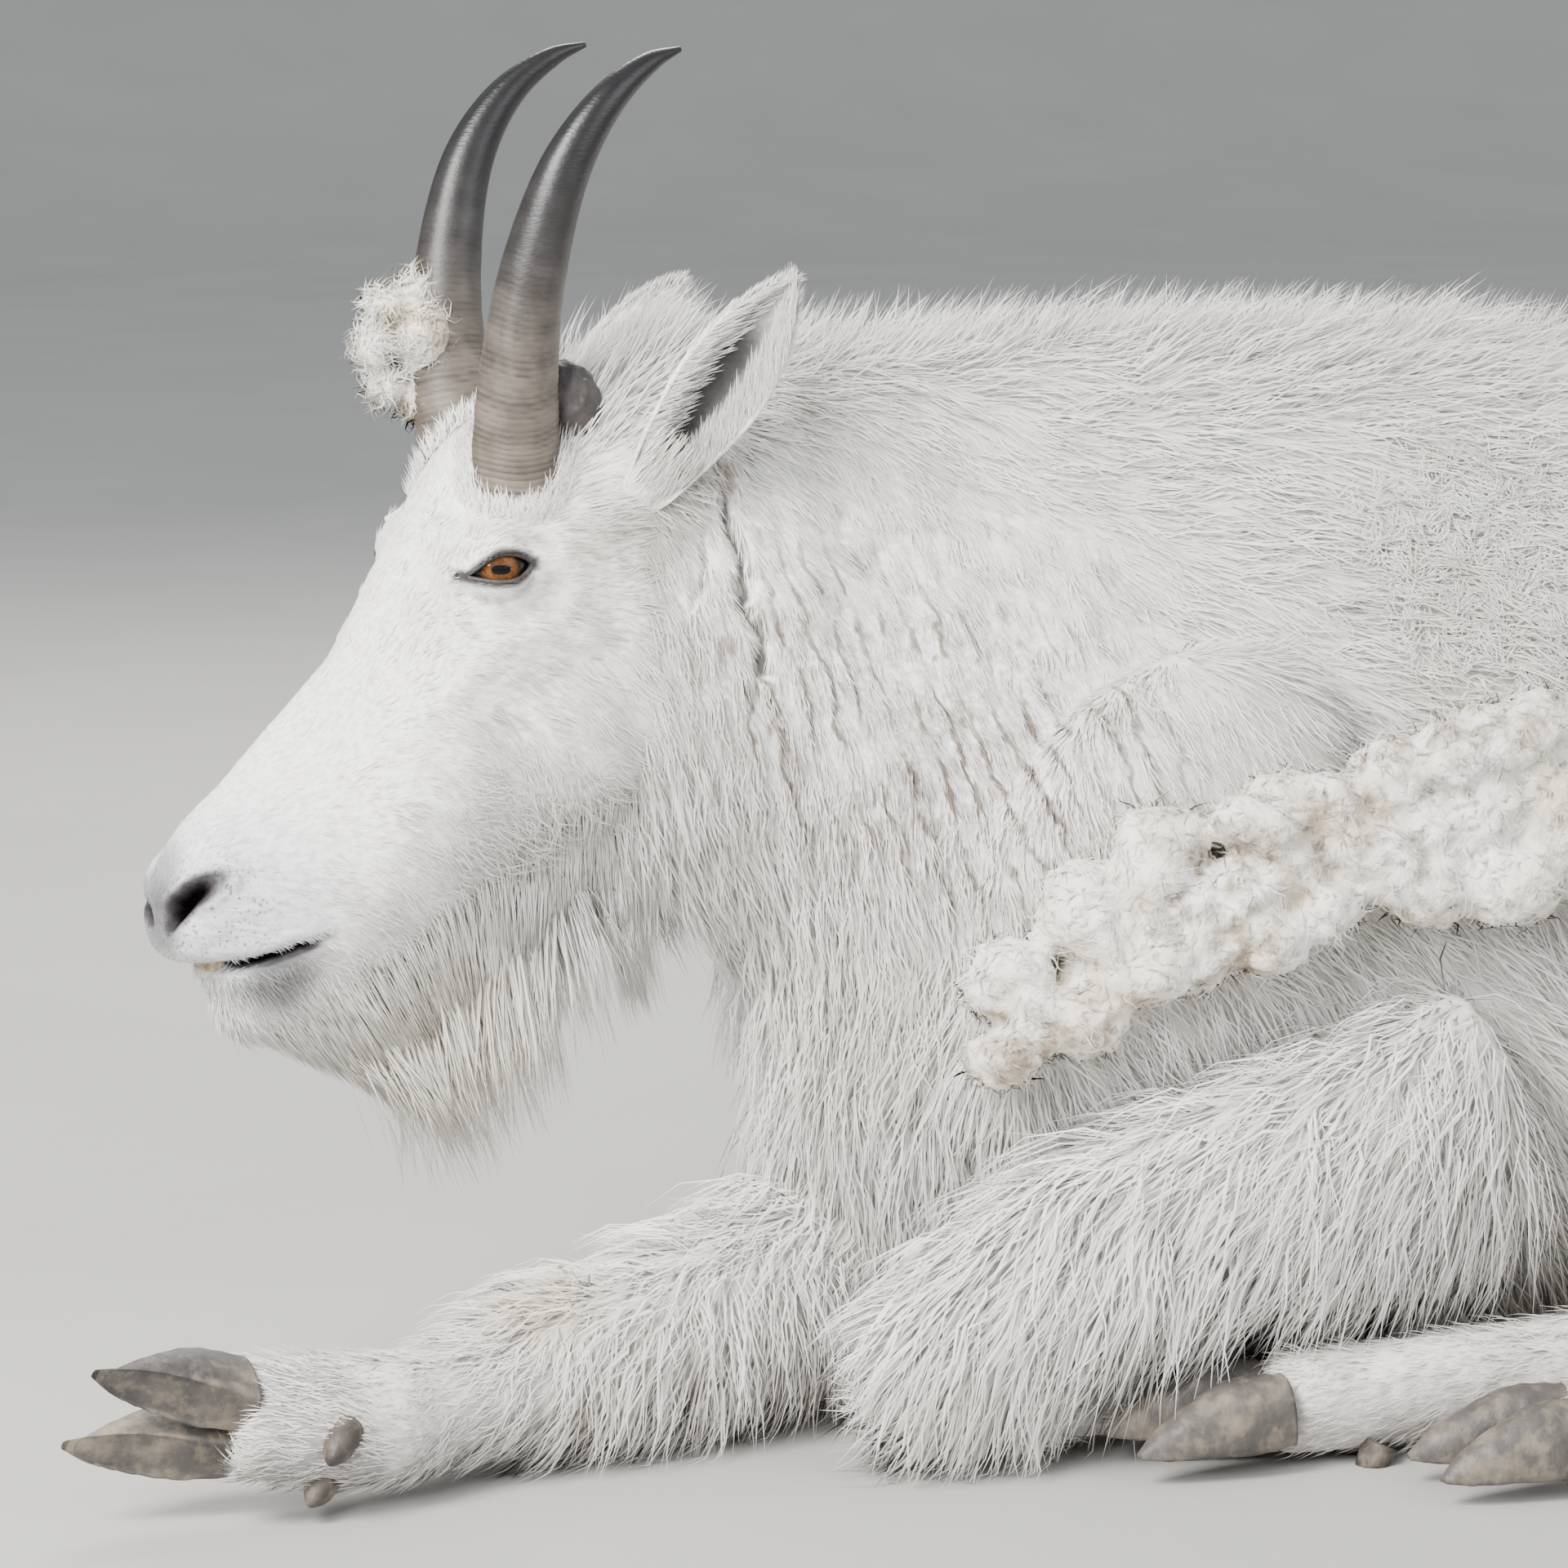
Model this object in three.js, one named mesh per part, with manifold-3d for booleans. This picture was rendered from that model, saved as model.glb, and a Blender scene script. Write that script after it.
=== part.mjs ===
// Mountain goat lying at rest, life size, in millimetres, +Z up.
// The goat faces -X, its left side is -Y, and the origin is on the floor under its breastbone.
import * as THREE from 'three';
import { mergeVertices } from 'three/addons/utils/BufferGeometryUtils.js';
import Module from 'manifold-3d';

const wasm = await Module();
wasm.setup();

// Driving dimensions
const GAP = 0.3;
const EYE_MID = new THREE.Vector3(-329, -10, 409);
const HEAD_YAW = THREE.MathUtils.degToRad(5);
const EYE_RADIUS = 15;
const EYE_SIDE = 45;
const HORN_SIDES = 10;
const BODY_SIDES = 18;
const HEAD_SIDES = 16;
const LIMB_SIDES = 10;
const LOCK_SINK = 9;
const CREST_LOWERED = 10;
const FLOOR_DEPTH = 200;
const BIG = 3000;

const COAT = 0xf1eee8;
const WOOL = 0xd9cdb8;
const DARK_SKIN = 0x37302c;
const HORN = 0x3a3633;
const HOOF = 0x55504b;

// Head sections in the head's own frame, from the nose back:
// forward, top, bottom, half width near the top, at the middle, near the bottom
const HEAD_SECTIONS = [
  [150, -147, -168, 8, 14, 10],
  [146, -133, -175, 19, 27, 23],
  [139, -119, -179, 25, 33, 30],
  [130, -106, -181, 26, 35, 33],
  [122, -98, -187, 26, 36, 31],
  [118, -95, -205, 26, 37, 25],
  [110, -86, -217, 25, 38, 25],
  [95, -70, -221, 26, 40, 26],
  [76, -51, -218, 28, 43, 29],
  [60, -36, -213, 31, 47, 32],
  [39, -2, -202, 40, 53, 36],
  [20, 31, -188, 49, 57, 40],
  [0, 60, -173, 52, 59, 42],
  [-20, 71, -160, 53, 61, 45],
  [-45, 84, -142, 52, 62, 47],
  [-95, 103, -118, 51, 62, 52],
  [-118, 106, -118, 50, 62, 53],
];

// Neck and trunk sections across the body: along X, sideways shift, top, bottom, three half widths
const TRUNK_SECTIONS = [
  [-262, -9, 511, 262, 46, 70, 52],
  [-230, -7, 517, 234, 50, 78, 58],
  [-200, -5, 521, 218, 53, 85, 64],
  [-182, -4, 522, 202, 56, 92, 68],
  [-171, -3, 523, 160, 58, 98, 66],
  [-163, -2, 523, 116, 60, 104, 66],
  [-150, -1, 524, 80, 63, 112, 74],
  [-120, 0, 524, 40, 70, 124, 88],
  [-80, 0, 524, 10, 78, 138, 102],
  [-30, 0, 524, -8, 88, 150, 116],
  [40, 0, 524, -12, 98, 156, 124],
  [120, 0, 522, -12, 108, 162, 134],
  [210, 0, 517, -12, 120, 172, 146],
  [310, 0, 508, -12, 130, 182, 154],
  [410, 3, 499, -12, 134, 184, 154],
  [500, 8, 488, -12, 128, 176, 146],
  [580, 14, 470, -12, 116, 160, 130],
  [650, 18, 442, -8, 98, 136, 108],
  [705, 20, 400, 20, 74, 104, 82],
  [745, 20, 350, 90, 40, 62, 44],
];

// Horn centre line and half thickness, in the head's frame: forward, outward, up, half thickness
const HORN_LINE = [
  [-18, 29, 35, 20.5],
  [-17.5, 31, 53, 20.5],
  [-15.6, 39, 88, 18.5],
  [-19.4, 46.5, 132, 15.8],
  [-33, 53, 179, 12.2],
  [-53, 54.5, 208, 8.6],
  [-75.5, 52, 224.5, 5.0],
  [-91, 50, 230, 1.6],
];

// Small geometry helpers

function seeded(seed) {
  let state = seed;
  return () => {
    state = (state + 0x6d2b79f5) | 0;
    let t = Math.imul(state ^ (state >>> 15), 1 | state);
    t = (t + Math.imul(t ^ (t >>> 7), 61 | t)) ^ t;
    return ((t ^ (t >>> 14)) >>> 0) / 4294967296;
  };
}

function vec(x, y, z) {
  return new THREE.Vector3(x, y, z);
}

function solidFrom(positions, indices) {
  let volume = 0;
  const at = (i) => vec(positions[3 * i], positions[3 * i + 1], positions[3 * i + 2]);
  for (let i = 0; i < indices.length; i += 3) {
    const a = at(indices[i]);
    volume += a.dot(at(indices[i + 1]).cross(at(indices[i + 2])));
  }
  const turned = volume < 0;
  const triangles = new Uint32Array(indices.length);
  for (let i = 0; i < indices.length; i += 3) {
    triangles[i] = indices[i];
    triangles[i + 1] = indices[turned ? i + 2 : i + 1];
    triangles[i + 2] = indices[turned ? i + 1 : i + 2];
  }
  return new wasm.Manifold(new wasm.Mesh({
    numProp: 3,
    vertProperties: new Float32Array(positions),
    triVerts: triangles,
  }));
}

function geometrySolid(geometry) {
  const bare = geometry.clone();
  bare.deleteAttribute('normal');
  bare.deleteAttribute('uv');
  const merged = mergeVertices(bare, 1e-4);
  return solidFrom(Array.from(merged.attributes.position.array), Array.from(merged.index.array));
}

// A closed body through rings of equal length, with a fan at each end
function ringLoft(rings) {
  const sides = rings[0].length;
  const positions = [];
  const indices = [];
  for (const ring of rings) {
    for (const p of ring) positions.push(p.x, p.y, p.z);
  }
  for (let r = 0; r < rings.length - 1; r++) {
    for (let i = 0; i < sides; i++) {
      const j = (i + 1) % sides;
      const a = r * sides + i;
      const b = r * sides + j;
      indices.push(a, b, b + sides);
      indices.push(a, b + sides, a + sides);
    }
  }
  for (const r of [0, rings.length - 1]) {
    const middle = vec(0, 0, 0);
    for (const p of rings[r]) middle.add(p);
    middle.divideScalar(sides);
    const centre = positions.length / 3;
    positions.push(middle.x, middle.y, middle.z);
    for (let i = 0; i < sides; i++) {
      const a = r * sides + i;
      const b = r * sides + ((i + 1) % sides);
      if (r === 0) indices.push(b, a, centre);
      else indices.push(a, b, centre);
    }
  }
  return solidFrom(positions, indices);
}

// A rounded section: half widths at three heights between top and bottom
function sectionRing(section, sides, place) {
  const [along, top, bottom, upper, middle, lower] = section;
  const height = top - bottom;
  const outline = new THREE.CatmullRomCurve3([
    vec(0, top, 0),
    vec(upper, top - 0.2 * height, 0),
    vec(middle, top - 0.52 * height, 0),
    vec(lower, bottom + 0.16 * height, 0),
    vec(0, bottom, 0),
    vec(-lower, bottom + 0.16 * height, 0),
    vec(-middle, top - 0.52 * height, 0),
    vec(-upper, top - 0.2 * height, 0),
  ], true, 'centripetal');
  const ring = [];
  for (let i = 0; i < sides; i++) {
    const p = outline.getPoint(i / sides);
    ring.push(place(along, p.x, p.y));
  }
  return ring;
}

// A limb: stations of x, y, z, half width across, half depth, swept with a fixed up direction
function limbPiece(stations, up, from, to, options = {}) {
  const { grow = 0, sides = LIMB_SIDES, perSpan = 2, power = 2 } = options;
  const line = new THREE.CatmullRomCurve3(stations.map((s) => vec(s[0], s[1], s[2])), false, 'centripetal');
  const size = new THREE.CatmullRomCurve3(stations.map((s) => vec(s[3], s[4], 0)), false, 'centripetal');
  const steps = Math.max(1, Math.round((to - from) * (stations.length - 1) * perSpan));
  const rings = [];
  for (let i = 0; i <= steps; i++) {
    const t = from + ((to - from) * i) / steps;
    const tangent = line.getTangent(t);
    const side = tangent.clone().cross(up).normalize();
    const top = side.clone().cross(tangent).normalize();
    const centre = line.getPoint(t);
    const inset = grow > 0 ? 0 : GAP / 2;
    if (i === 0) centre.addScaledVector(tangent, inset);
    if (i === steps) centre.addScaledVector(tangent, -inset);
    const half = size.getPoint(t);
    const ring = [];
    for (let k = 0; k < sides; k++) {
      const angle = (2 * Math.PI * k) / sides;
      const c = Math.cos(angle);
      const s = Math.sin(angle);
      const across = (half.x + grow) * Math.sign(c) * Math.abs(c) ** (2 / power);
      const deep = (half.y + grow) * Math.sign(s) * Math.abs(s) ** (2 / power);
      ring.push(centre.clone().addScaledVector(side, across).addScaledVector(top, deep));
    }
    rings.push(ring);
  }
  return ringLoft(rings);
}

function blob(centre, radii, turn = [0, 0, 0], detail = 4, grow = 0) {
  const geometry = new THREE.SphereGeometry(1, 2 * detail, detail + 1);
  geometry.scale(radii[0] + grow, radii[1] + grow, radii[2] + grow);
  geometry.rotateX(turn[0]);
  geometry.rotateY(turn[1]);
  geometry.rotateZ(turn[2]);
  geometry.translate(centre.x, centre.y, centre.z);
  return geometrySolid(geometry);
}

function slab(centre, size, turnY = 0) {
  const geometry = new THREE.BoxGeometry(size[0], size[1], size[2]);
  geometry.rotateY(turnY);
  geometry.translate(centre.x, centre.y, centre.z);
  return geometrySolid(geometry);
}

function joined(solids) {
  return solids.reduce((all, next) => all.add(next));
}

function largest(solid) {
  const pieces = solid.decompose();
  pieces.sort((a, b) => b.volume() - a.volume());
  return pieces[0];
}

const FLOOR = slab(vec(0, 0, -FLOOR_DEPTH / 2), [BIG, BIG, FLOOR_DEPTH]);

// A lock of hair: a flat taper rooted under the skin that bends from its rise into its lie
function lock(root, rise, lie, size, grow = 0) {
  const { length, width, thick, spans = 2 } = size;
  const start = rise.clone().normalize();
  const end = lie.clone().normalize();
  const centre = root.clone().addScaledVector(start, -LOCK_SINK);
  const rings = [];
  for (let i = 0; i <= spans; i++) {
    const t = i / spans;
    const heading = start.clone().lerp(end, Math.min(1, t * 1.1)).normalize();
    const side = heading.clone().cross(start.clone().addScaledVector(end, -0.4)).normalize();
    const top = side.clone().cross(heading).normalize();
    const taper = (1 - t) ** 0.7 * (0.85 + 0.15 * Math.sin(Math.PI * t)) + 0.08;
    const across = (width / 2) * taper + grow;
    const deep = (thick / 2) * taper + grow;
    rings.push([
      centre.clone().addScaledVector(side, across),
      centre.clone().addScaledVector(top, deep),
      centre.clone().addScaledVector(side, -across),
      centre.clone().addScaledVector(top, -deep),
    ]);
    centre.addScaledVector(heading, (length + LOCK_SINK) / spans);
  }
  return ringLoft(rings);
}

function varied(random, value, share) {
  return value * (1 + share * (2 * random() - 1));
}

// Head frame: forward, outward to the goat's left, up from the middle between the eyes
const HEAD_FORWARD = vec(-Math.cos(HEAD_YAW), -Math.sin(HEAD_YAW), 0);
const HEAD_LEFT = vec(Math.sin(HEAD_YAW), -Math.cos(HEAD_YAW), 0);

function headPoint(forward, left, up) {
  return EYE_MID.clone()
    .addScaledVector(HEAD_FORWARD, forward)
    .addScaledVector(HEAD_LEFT, left)
    .add(vec(0, 0, up));
}

function headBlob(forward, left, up, radii, pitch = 0, detail = 5, grow = 0) {
  const centre = headPoint(forward, left, up);
  return blob(centre, radii, [0, pitch, HEAD_YAW], detail, grow);
}

function headLoft(grow) {
  const last = HEAD_SECTIONS.length - 1;
  const rings = HEAD_SECTIONS.map((section, i) => {
    const [along, top, bottom, upper, middle, lower] = section;
    const shift = i === 0 ? grow : i === last ? -grow : 0;
    const grown = [along + shift, top + grow, bottom - grow, upper + grow, middle + grow, lower + grow];
    return sectionRing(grown, HEAD_SIDES, (f, y, h) => headPoint(f, y, h));
  });
  return ringLoft(rings);
}

// The brow stands over the eye and the jaw muscle fills the cheek
function headForms(grow) {
  const forms = [headLoft(grow)];
  for (const side of [-1, 1]) {
    forms.push(headBlob(0, side * 47, 15, [24, 13, 10], 0.45, 4, grow));
    forms.push(headBlob(-42, side * 44, -70, [44, 21, 50], 0.5, 4, grow));
  }
  return joined(forms);
}

// Rows of beard locks from the chin to the throat: forward, root height, drop to the tip
const BEARD_ROWS = [
  [90, -214, 24], [64, -209, 46], [38, -198, 76], [12, -180, 102],
  [-14, -162, 108], [-40, -144, 100],
];
const BEARD_SIDES = [-27, -10, 10, 27];

function beard(grow) {
  const random = seeded(11);
  const locks = [];
  for (const [row, [forward, height, drop]] of BEARD_ROWS.entries()) {
    for (const side of BEARD_SIDES) {
      const shift = row % 2 ? 6 : -6;
      const outer = Math.abs(side) > 20;
      const root = headPoint(forward, (side + shift) * 0.9, height + (outer ? 16 : 4));
      const rise = headPoint(-0.25, side * 0.012, -1).sub(EYE_MID);
      const lie = headPoint(-0.42, 0, -1).sub(EYE_MID);
      const length = varied(random, drop * (outer ? 0.86 : 1.04), 0.1);
      locks.push(lock(root, rise, lie, { length, width: 30, thick: 10 }, grow));
    }
  }
  return joined(locks);
}

function almondRing(side, lift, lids) {
  const stations = [];
  for (let i = 0; i <= 6; i++) {
    const u = -1 + i / 3;
    const arch = lids * (1 - u * u);
    const forward = 17.5 * u;
    const up = lift + arch;
    const reach = Math.sqrt(Math.max(0, 17.6 ** 2 - forward ** 2 * 0.72 - up ** 2));
    const p = headPoint(forward, side * (EYE_SIDE + reach), up);
    stations.push([p.x, p.y, p.z, 2.6, 2.6]);
  }
  return limbPiece(stations, vec(0, 0, 1), 0, 1, { sides: 4, perSpan: 1 });
}

function headNode() {
  let head = headForms(0);
  for (const side of [-1, 1]) {
    head = head.add(almondRing(side, 1, 7.5));
    head = head.add(almondRing(side, -1.5, -6.5));
    head = head.subtract(nostril(side));
  }
  head = head.subtract(mouthSlit());
  return head;
}

function nostril(side) {
  const line = [
    [150, 13, -153, 4, 3],
    [146, 20, -146, 6, 4],
    [139, 28, -139, 6, 4],
    [129, 36, -134, 5, 3],
    [119, 40, -128, 3, 2],
  ];
  const stations = line.map(([f, y, h, across, deep]) => {
    const p = headPoint(f, side * y, h);
    return [p.x, p.y, p.z, across, deep];
  });
  return limbPiece(stations, vec(0, 0, 1), 0, 1, { sides: 6, perSpan: 1 });
}

// The mouth line: a thin wedge, open in front where the lower teeth show
function mouthSlit() {
  const shape = new THREE.Shape();
  shape.moveTo(170, -174);
  shape.lineTo(132, -174.5);
  shape.lineTo(104, -170);
  shape.lineTo(76, -162);
  shape.lineTo(104, -172);
  shape.lineTo(126, -181);
  shape.lineTo(170, -187);
  shape.closePath();
  const geometry = new THREE.ExtrudeGeometry(shape, { depth: 120, bevelEnabled: false });
  geometry.translate(0, 0, -60);
  const across = new THREE.Matrix4().makeBasis(HEAD_FORWARD, vec(0, 0, 1), HEAD_LEFT.clone().negate());
  across.setPosition(EYE_MID);
  geometry.applyMatrix4(across);
  return geometrySolid(geometry);
}

// Eight lower front teeth in one arc
function teethPiece(grow) {
  const parts = [];
  for (let i = 0; i < 8; i++) {
    const angle = ((i - 3.5) / 3.5) * 0.95;
    const forward = 107 + 15 * Math.cos(angle);
    const side = 17 * Math.sin(angle);
    parts.push(headBlob(forward, side, -178, [4.6, 4.2, 7], -0.5, 2, grow));
  }
  return joined(parts);
}

function hornPiece(side, grow) {
  const stations = HORN_LINE.map(([f, y, h, half]) => {
    const p = headPoint(f, side * y, h);
    return [p.x, p.y, p.z, half * 0.86, half];
  });
  return limbPiece(stations, HEAD_FORWARD, 0, 1, { sides: HORN_SIDES, perSpan: 2, grow });
}

function glandPiece(side, grow) {
  return headBlob(-46, side * 27, 70, [16, 13, 22], -0.3, 5, grow);
}

// An ear: a leaf with the cup cut out of its front
function earPiece(side, tip, grow) {
  const base = headPoint(-72, side * 56, 34);
  const end = headPoint(tip[0], side * tip[1], tip[2]);
  const cupFacing = headPoint(20, side * 140, 30).sub(headPoint(0, 0, 0)).normalize();
  const widths = [[0, 14, 12], [0.2, 19, 14], [0.45, 23, 13], [0.7, 20, 9], [0.88, 12, 5.5], [1, 2, 2]];
  const outer = widths.map(([t, across, deep]) => {
    const p = base.clone().lerp(end, t).addScaledVector(cupFacing, 6 * Math.sin(Math.PI * t));
    return [p.x, p.y, p.z, across, deep];
  });
  const inner = widths.slice(1, 5).map(([t, across, deep]) => {
    const p = base.clone().lerp(end, t).addScaledVector(cupFacing, 6 * Math.sin(Math.PI * t) + 9);
    return [p.x, p.y, p.z, across - 5, deep - 1];
  });
  const shell = limbPiece(outer, cupFacing, 0, 1, { sides: 10, perSpan: 1, grow });
  const cup = limbPiece(inner, cupFacing, 0, 1, { sides: 8, perSpan: 1 });
  return grow > 0 ? shell : shell.subtract(cup);
}

function trunkLoft(grow) {
  const rings = TRUNK_SECTIONS.map(([x, shift, top, bottom, upper, middle, lower]) => sectionRing(
    [x, top - CREST_LOWERED + grow, bottom - grow, upper + grow, middle + grow, lower + grow],
    BODY_SIDES, (along, y, z) => vec(along, y + shift, z)));
  return ringLoft(rings);
}

// A place on the trunk at x, from level 0 on the back to 1 under the belly, with its outward direction
function trunkPlace(x, side, level) {
  const next = TRUNK_SECTIONS.findIndex((s) => s[0] > x);
  const a = TRUNK_SECTIONS[next - 1];
  const b = TRUNK_SECTIONS[next];
  const share = (x - a[0]) / (b[0] - a[0]);
  const [, shift, top, bottom, upper, middle, lower] = a.map((value, i) => value + (b[i] - value) * share);
  const steps = 80;
  const ring = sectionRing([x, top - CREST_LOWERED, bottom, upper, middle, lower], steps, (f, y, z) => vec(f, y, z));
  const index = Math.round(level * steps / 2);
  const before = ring[Math.max(0, index - 1)];
  const after = ring[index + 1];
  const slope = after.clone().sub(before);
  const out = vec(0, -slope.z, slope.y).normalize();
  const point = ring[index].clone();
  return {
    point: vec(x, side * point.y + shift, point.z),
    out: vec(0, side * out.y, out.z),
  };
}

// Rows of locks on the trunk, each from one x to another at a level
function trunkLocks(row, grow) {
  const { side, level, from, to, count, rise = 0.45, lie, size, seed } = row;
  const random = seeded(seed);
  const locks = [];
  for (let i = 0; i < count; i++) {
    const x = from + ((to - from) * (i + 0.5 + 0.35 * (random() - 0.5))) / count;
    const { point, out } = trunkPlace(x, side, level + 0.02 * (random() - 0.5));
    const down = vec(...lie);
    const start = out.clone().multiplyScalar(rise).add(down);
    const length = varied(random, size.length, 0.15);
    locks.push(lock(point, start, down, { ...size, length }, grow));
  }
  return locks;
}

const CREST = { side: 1, level: 0, lie: [1, 0, 0.16], rise: 0.55, size: { length: 70, width: 50, thick: 28 } };
const CHEST = { lie: [-0.25, 0, -1], rise: 0.9, size: { length: 50, width: 44, thick: 14 } };
const FLANK = { lie: [0.4, 0, -1], rise: 0.35, size: { length: 70, width: 62, thick: 15 } };
const TRUNK_LOCKS = [
  { ...CREST, from: -238, to: 262, count: 14, seed: 21 },
  { ...CHEST, side: 1, level: 0.84, from: -176, to: -120, count: 3, seed: 22 },
  { ...CHEST, side: -1, level: 0.84, from: -176, to: -120, count: 2, seed: 23 },
  { ...CHEST, side: 1, level: 0.95, from: -190, to: -136, count: 3, seed: 24 },
  { ...CHEST, side: -1, level: 0.95, from: -190, to: -136, count: 3, seed: 25 },
  { ...FLANK, side: 1, level: 0.74, from: 60, to: 500, count: 6, seed: 26 },
  { ...FLANK, side: 1, level: 0.6, from: 90, to: 540, count: 5, seed: 27 },
  { ...FLANK, side: -1, level: 0.76, from: 150, to: 400, count: 4, seed: 28 },
  { ...FLANK, side: -1, level: 0.6, from: 280, to: 450, count: 3, seed: 29 },
  { ...FLANK, side: 1, level: 0.42, from: 330, to: 640, count: 4, seed: 30 },
  { ...FLANK, side: -1, level: 0.42, from: 330, to: 600, count: 3, seed: 31 },
];

// Shoulder and hip muscles stand out from the trunk
function trunkForms(grow) {
  const forms = [trunkLoft(grow)];
  forms.push(blob(vec(-20, -112, 235), [110, 52, 150], [0.1, 0.35, 0], 5, grow));
  forms.push(blob(vec(-40, 108, 240), [110, 50, 150], [-0.1, 0.35, 0], 5, grow));
  forms.push(blob(vec(610, -70, 300), [150, 70, 128], [0.2, -0.4, 0], 5, grow));
  forms.push(blob(vec(600, 90, 170), [130, 90, 150], [0, -0.3, 0], 5, grow));
  for (const row of TRUNK_LOCKS) forms.push(...trunkLocks(row, grow));
  return joined(forms);
}

// Legs, from the body to the toes: x, y, z, half width, half depth
const FORE_LEFT = [
  [120, -166, 150, 50, 74],
  [50, -176, 130, 52, 70],
  [-35, -170, 114, 48, 60],
  [-100, -160, 84, 43, 54],
  [-143, -152, 54, 39, 49],
  [-170, -149, 46, 28, 38],
  [-186, -148, 44, 10, 14],
];
const FORE_LEFT_FOOT = [
  [-122, -146, 28, 30, 26],
  [-66, -140, 26, 24, 24],
  [-20, -136, 24, 22, 22],
  [12, -134, 22, 22, 20],
];
const FORE_RIGHT = [
  [-70, 50, 100, 54, 66],
  [-130, 6, 74, 54, 62],
  [-195, -34, 58, 48, 56],
  [-255, -56, 50, 42, 48],
  [-305, -70, 46, 36, 42],
  [-345, -86, 40, 29, 34],
  [-378, -100, 37, 28, 31],
  [-404, -111, 37, 30, 35],
  [-440, -119, 42, 28, 35],
  [-472, -122, 47, 26, 33],
];
const HIND_LEFT = [
  [610, -90, 300, 90, 110],
  [545, -182, 246, 80, 128],
  [474, -232, 196, 70, 106],
  [420, -268, 130, 54, 74],
  [370, -300, 72, 40, 50],
  [330, -318, 50, 30, 44],
  [270, -315, 36, 24, 32],
  [205, -302, 30, 22, 27],
  [145, -291, 27, 23, 27],
  [106, -286, 25, 22, 25],
];
const HIND_RIGHT = [
  [520, 40, 120, 80, 100],
  [440, -20, 84, 74, 84],
  [360, -95, 62, 60, 62],
  [290, -160, 50, 44, 50],
  [240, -202, 42, 32, 42],
  [180, -212, 36, 25, 33],
  [100, -208, 33, 22, 28],
  [34, -203, 29, 23, 28],
  [-4, -200, 27, 22, 26],
];

const UP = vec(0, 0, 1);
const FORE_RIGHT_UP = vec(0.2, 0.85, 0.5).normalize();

// A node's solid with the same form grown by the gap, which later nodes are cut clear of
function node(make) {
  return { solid: make(0), wide: make(GAP) };
}

// Long hair on a limb: locks at places along it, round it by an angle from its outer side
function limbLocks(stations, row, grow) {
  const { from, to, count, angle, lie, size, seed } = row;
  const random = seeded(seed);
  const line = new THREE.CatmullRomCurve3(stations.map((s) => vec(s[0], s[1], s[2])), false, 'centripetal');
  const half = new THREE.CatmullRomCurve3(stations.map((s) => vec(s[3], s[4], 0)), false, 'centripetal');
  const locks = [];
  for (let i = 0; i < count; i++) {
    const t = from + ((to - from) * (i + 0.5)) / count;
    const tangent = line.getTangent(t);
    const side = tangent.clone().cross(UP).normalize();
    const top = side.clone().cross(tangent).normalize();
    const turn = angle + 0.25 * (random() - 0.5);
    const reach = half.getPoint(t);
    const out = side.clone().multiplyScalar(Math.cos(turn)).addScaledVector(top, Math.sin(turn));
    const root = line.getPoint(t)
      .addScaledVector(side, reach.x * 0.94 * Math.cos(turn))
      .addScaledVector(top, reach.y * 0.94 * Math.sin(turn));
    const down = vec(...lie);
    const length = varied(random, size.length, 0.15);
    locks.push(lock(root, out.multiplyScalar(0.6).add(down), down, { ...size, length }, grow));
  }
  return locks;
}

const LEG_LOCK = { length: 46, width: 46, thick: 13 };
const THIGH_LOCK = { length: 66, width: 64, thick: 15 };
const LIMB_LOCKS = {
  fore_left_forearm: [
    { from: 0.36, to: 0.72, count: 4, angle: 3.5, lie: [0.5, 0, -1], size: LEG_LOCK, seed: 41 },
    { from: 0.34, to: 0.6, count: 3, angle: 2.7, lie: [0.3, 0, -1], size: LEG_LOCK, seed: 42 },
  ],
  fore_left_upper: [
    { from: 0.06, to: 0.28, count: 3, angle: 3.5, lie: [0.5, 0, -1], size: LEG_LOCK, seed: 43 },
  ],
  fore_right_forearm: [
    { from: 0.2, to: 0.47, count: 5, angle: 3.6, lie: [0.35, -0.3, -1], size: LEG_LOCK, seed: 44 },
    { from: 0.22, to: 0.42, count: 3, angle: 4.2, lie: [0.4, -0.5, -0.7], size: LEG_LOCK, seed: 45 },
  ],
  hind_left_thigh: [
    { from: 0.04, to: 0.28, count: 3, angle: 3.3, lie: [0.1, 0, -1], size: THIGH_LOCK, seed: 46 },
    { from: 0.06, to: 0.27, count: 2, angle: 2.6, lie: [0.1, -0.2, -1], size: THIGH_LOCK, seed: 47 },
    { from: 0.04, to: 0.28, count: 3, angle: 4.0, lie: [0.2, 0, -1], size: THIGH_LOCK, seed: 48 },
  ],
  hind_left_shank: [
    { from: 0.31, to: 0.48, count: 3, angle: 3.6, lie: [0.1, 0, -1], size: LEG_LOCK, seed: 49 },
  ],
};

function limbNodes(nodes, prefix, stations, names, cuts) {
  for (let i = 0; i < names.length; i++) {
    const name = `${prefix}_${names[i]}`;
    const rows = LIMB_LOCKS[name] ?? [];
    nodes[name] = node((grow) => joined([
      limbPiece(stations, UP, cuts[i], cuts[i + 1], { grow }),
      ...rows.flatMap((row) => limbLocks(stations, row, grow)),
    ]));
  }
}

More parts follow.
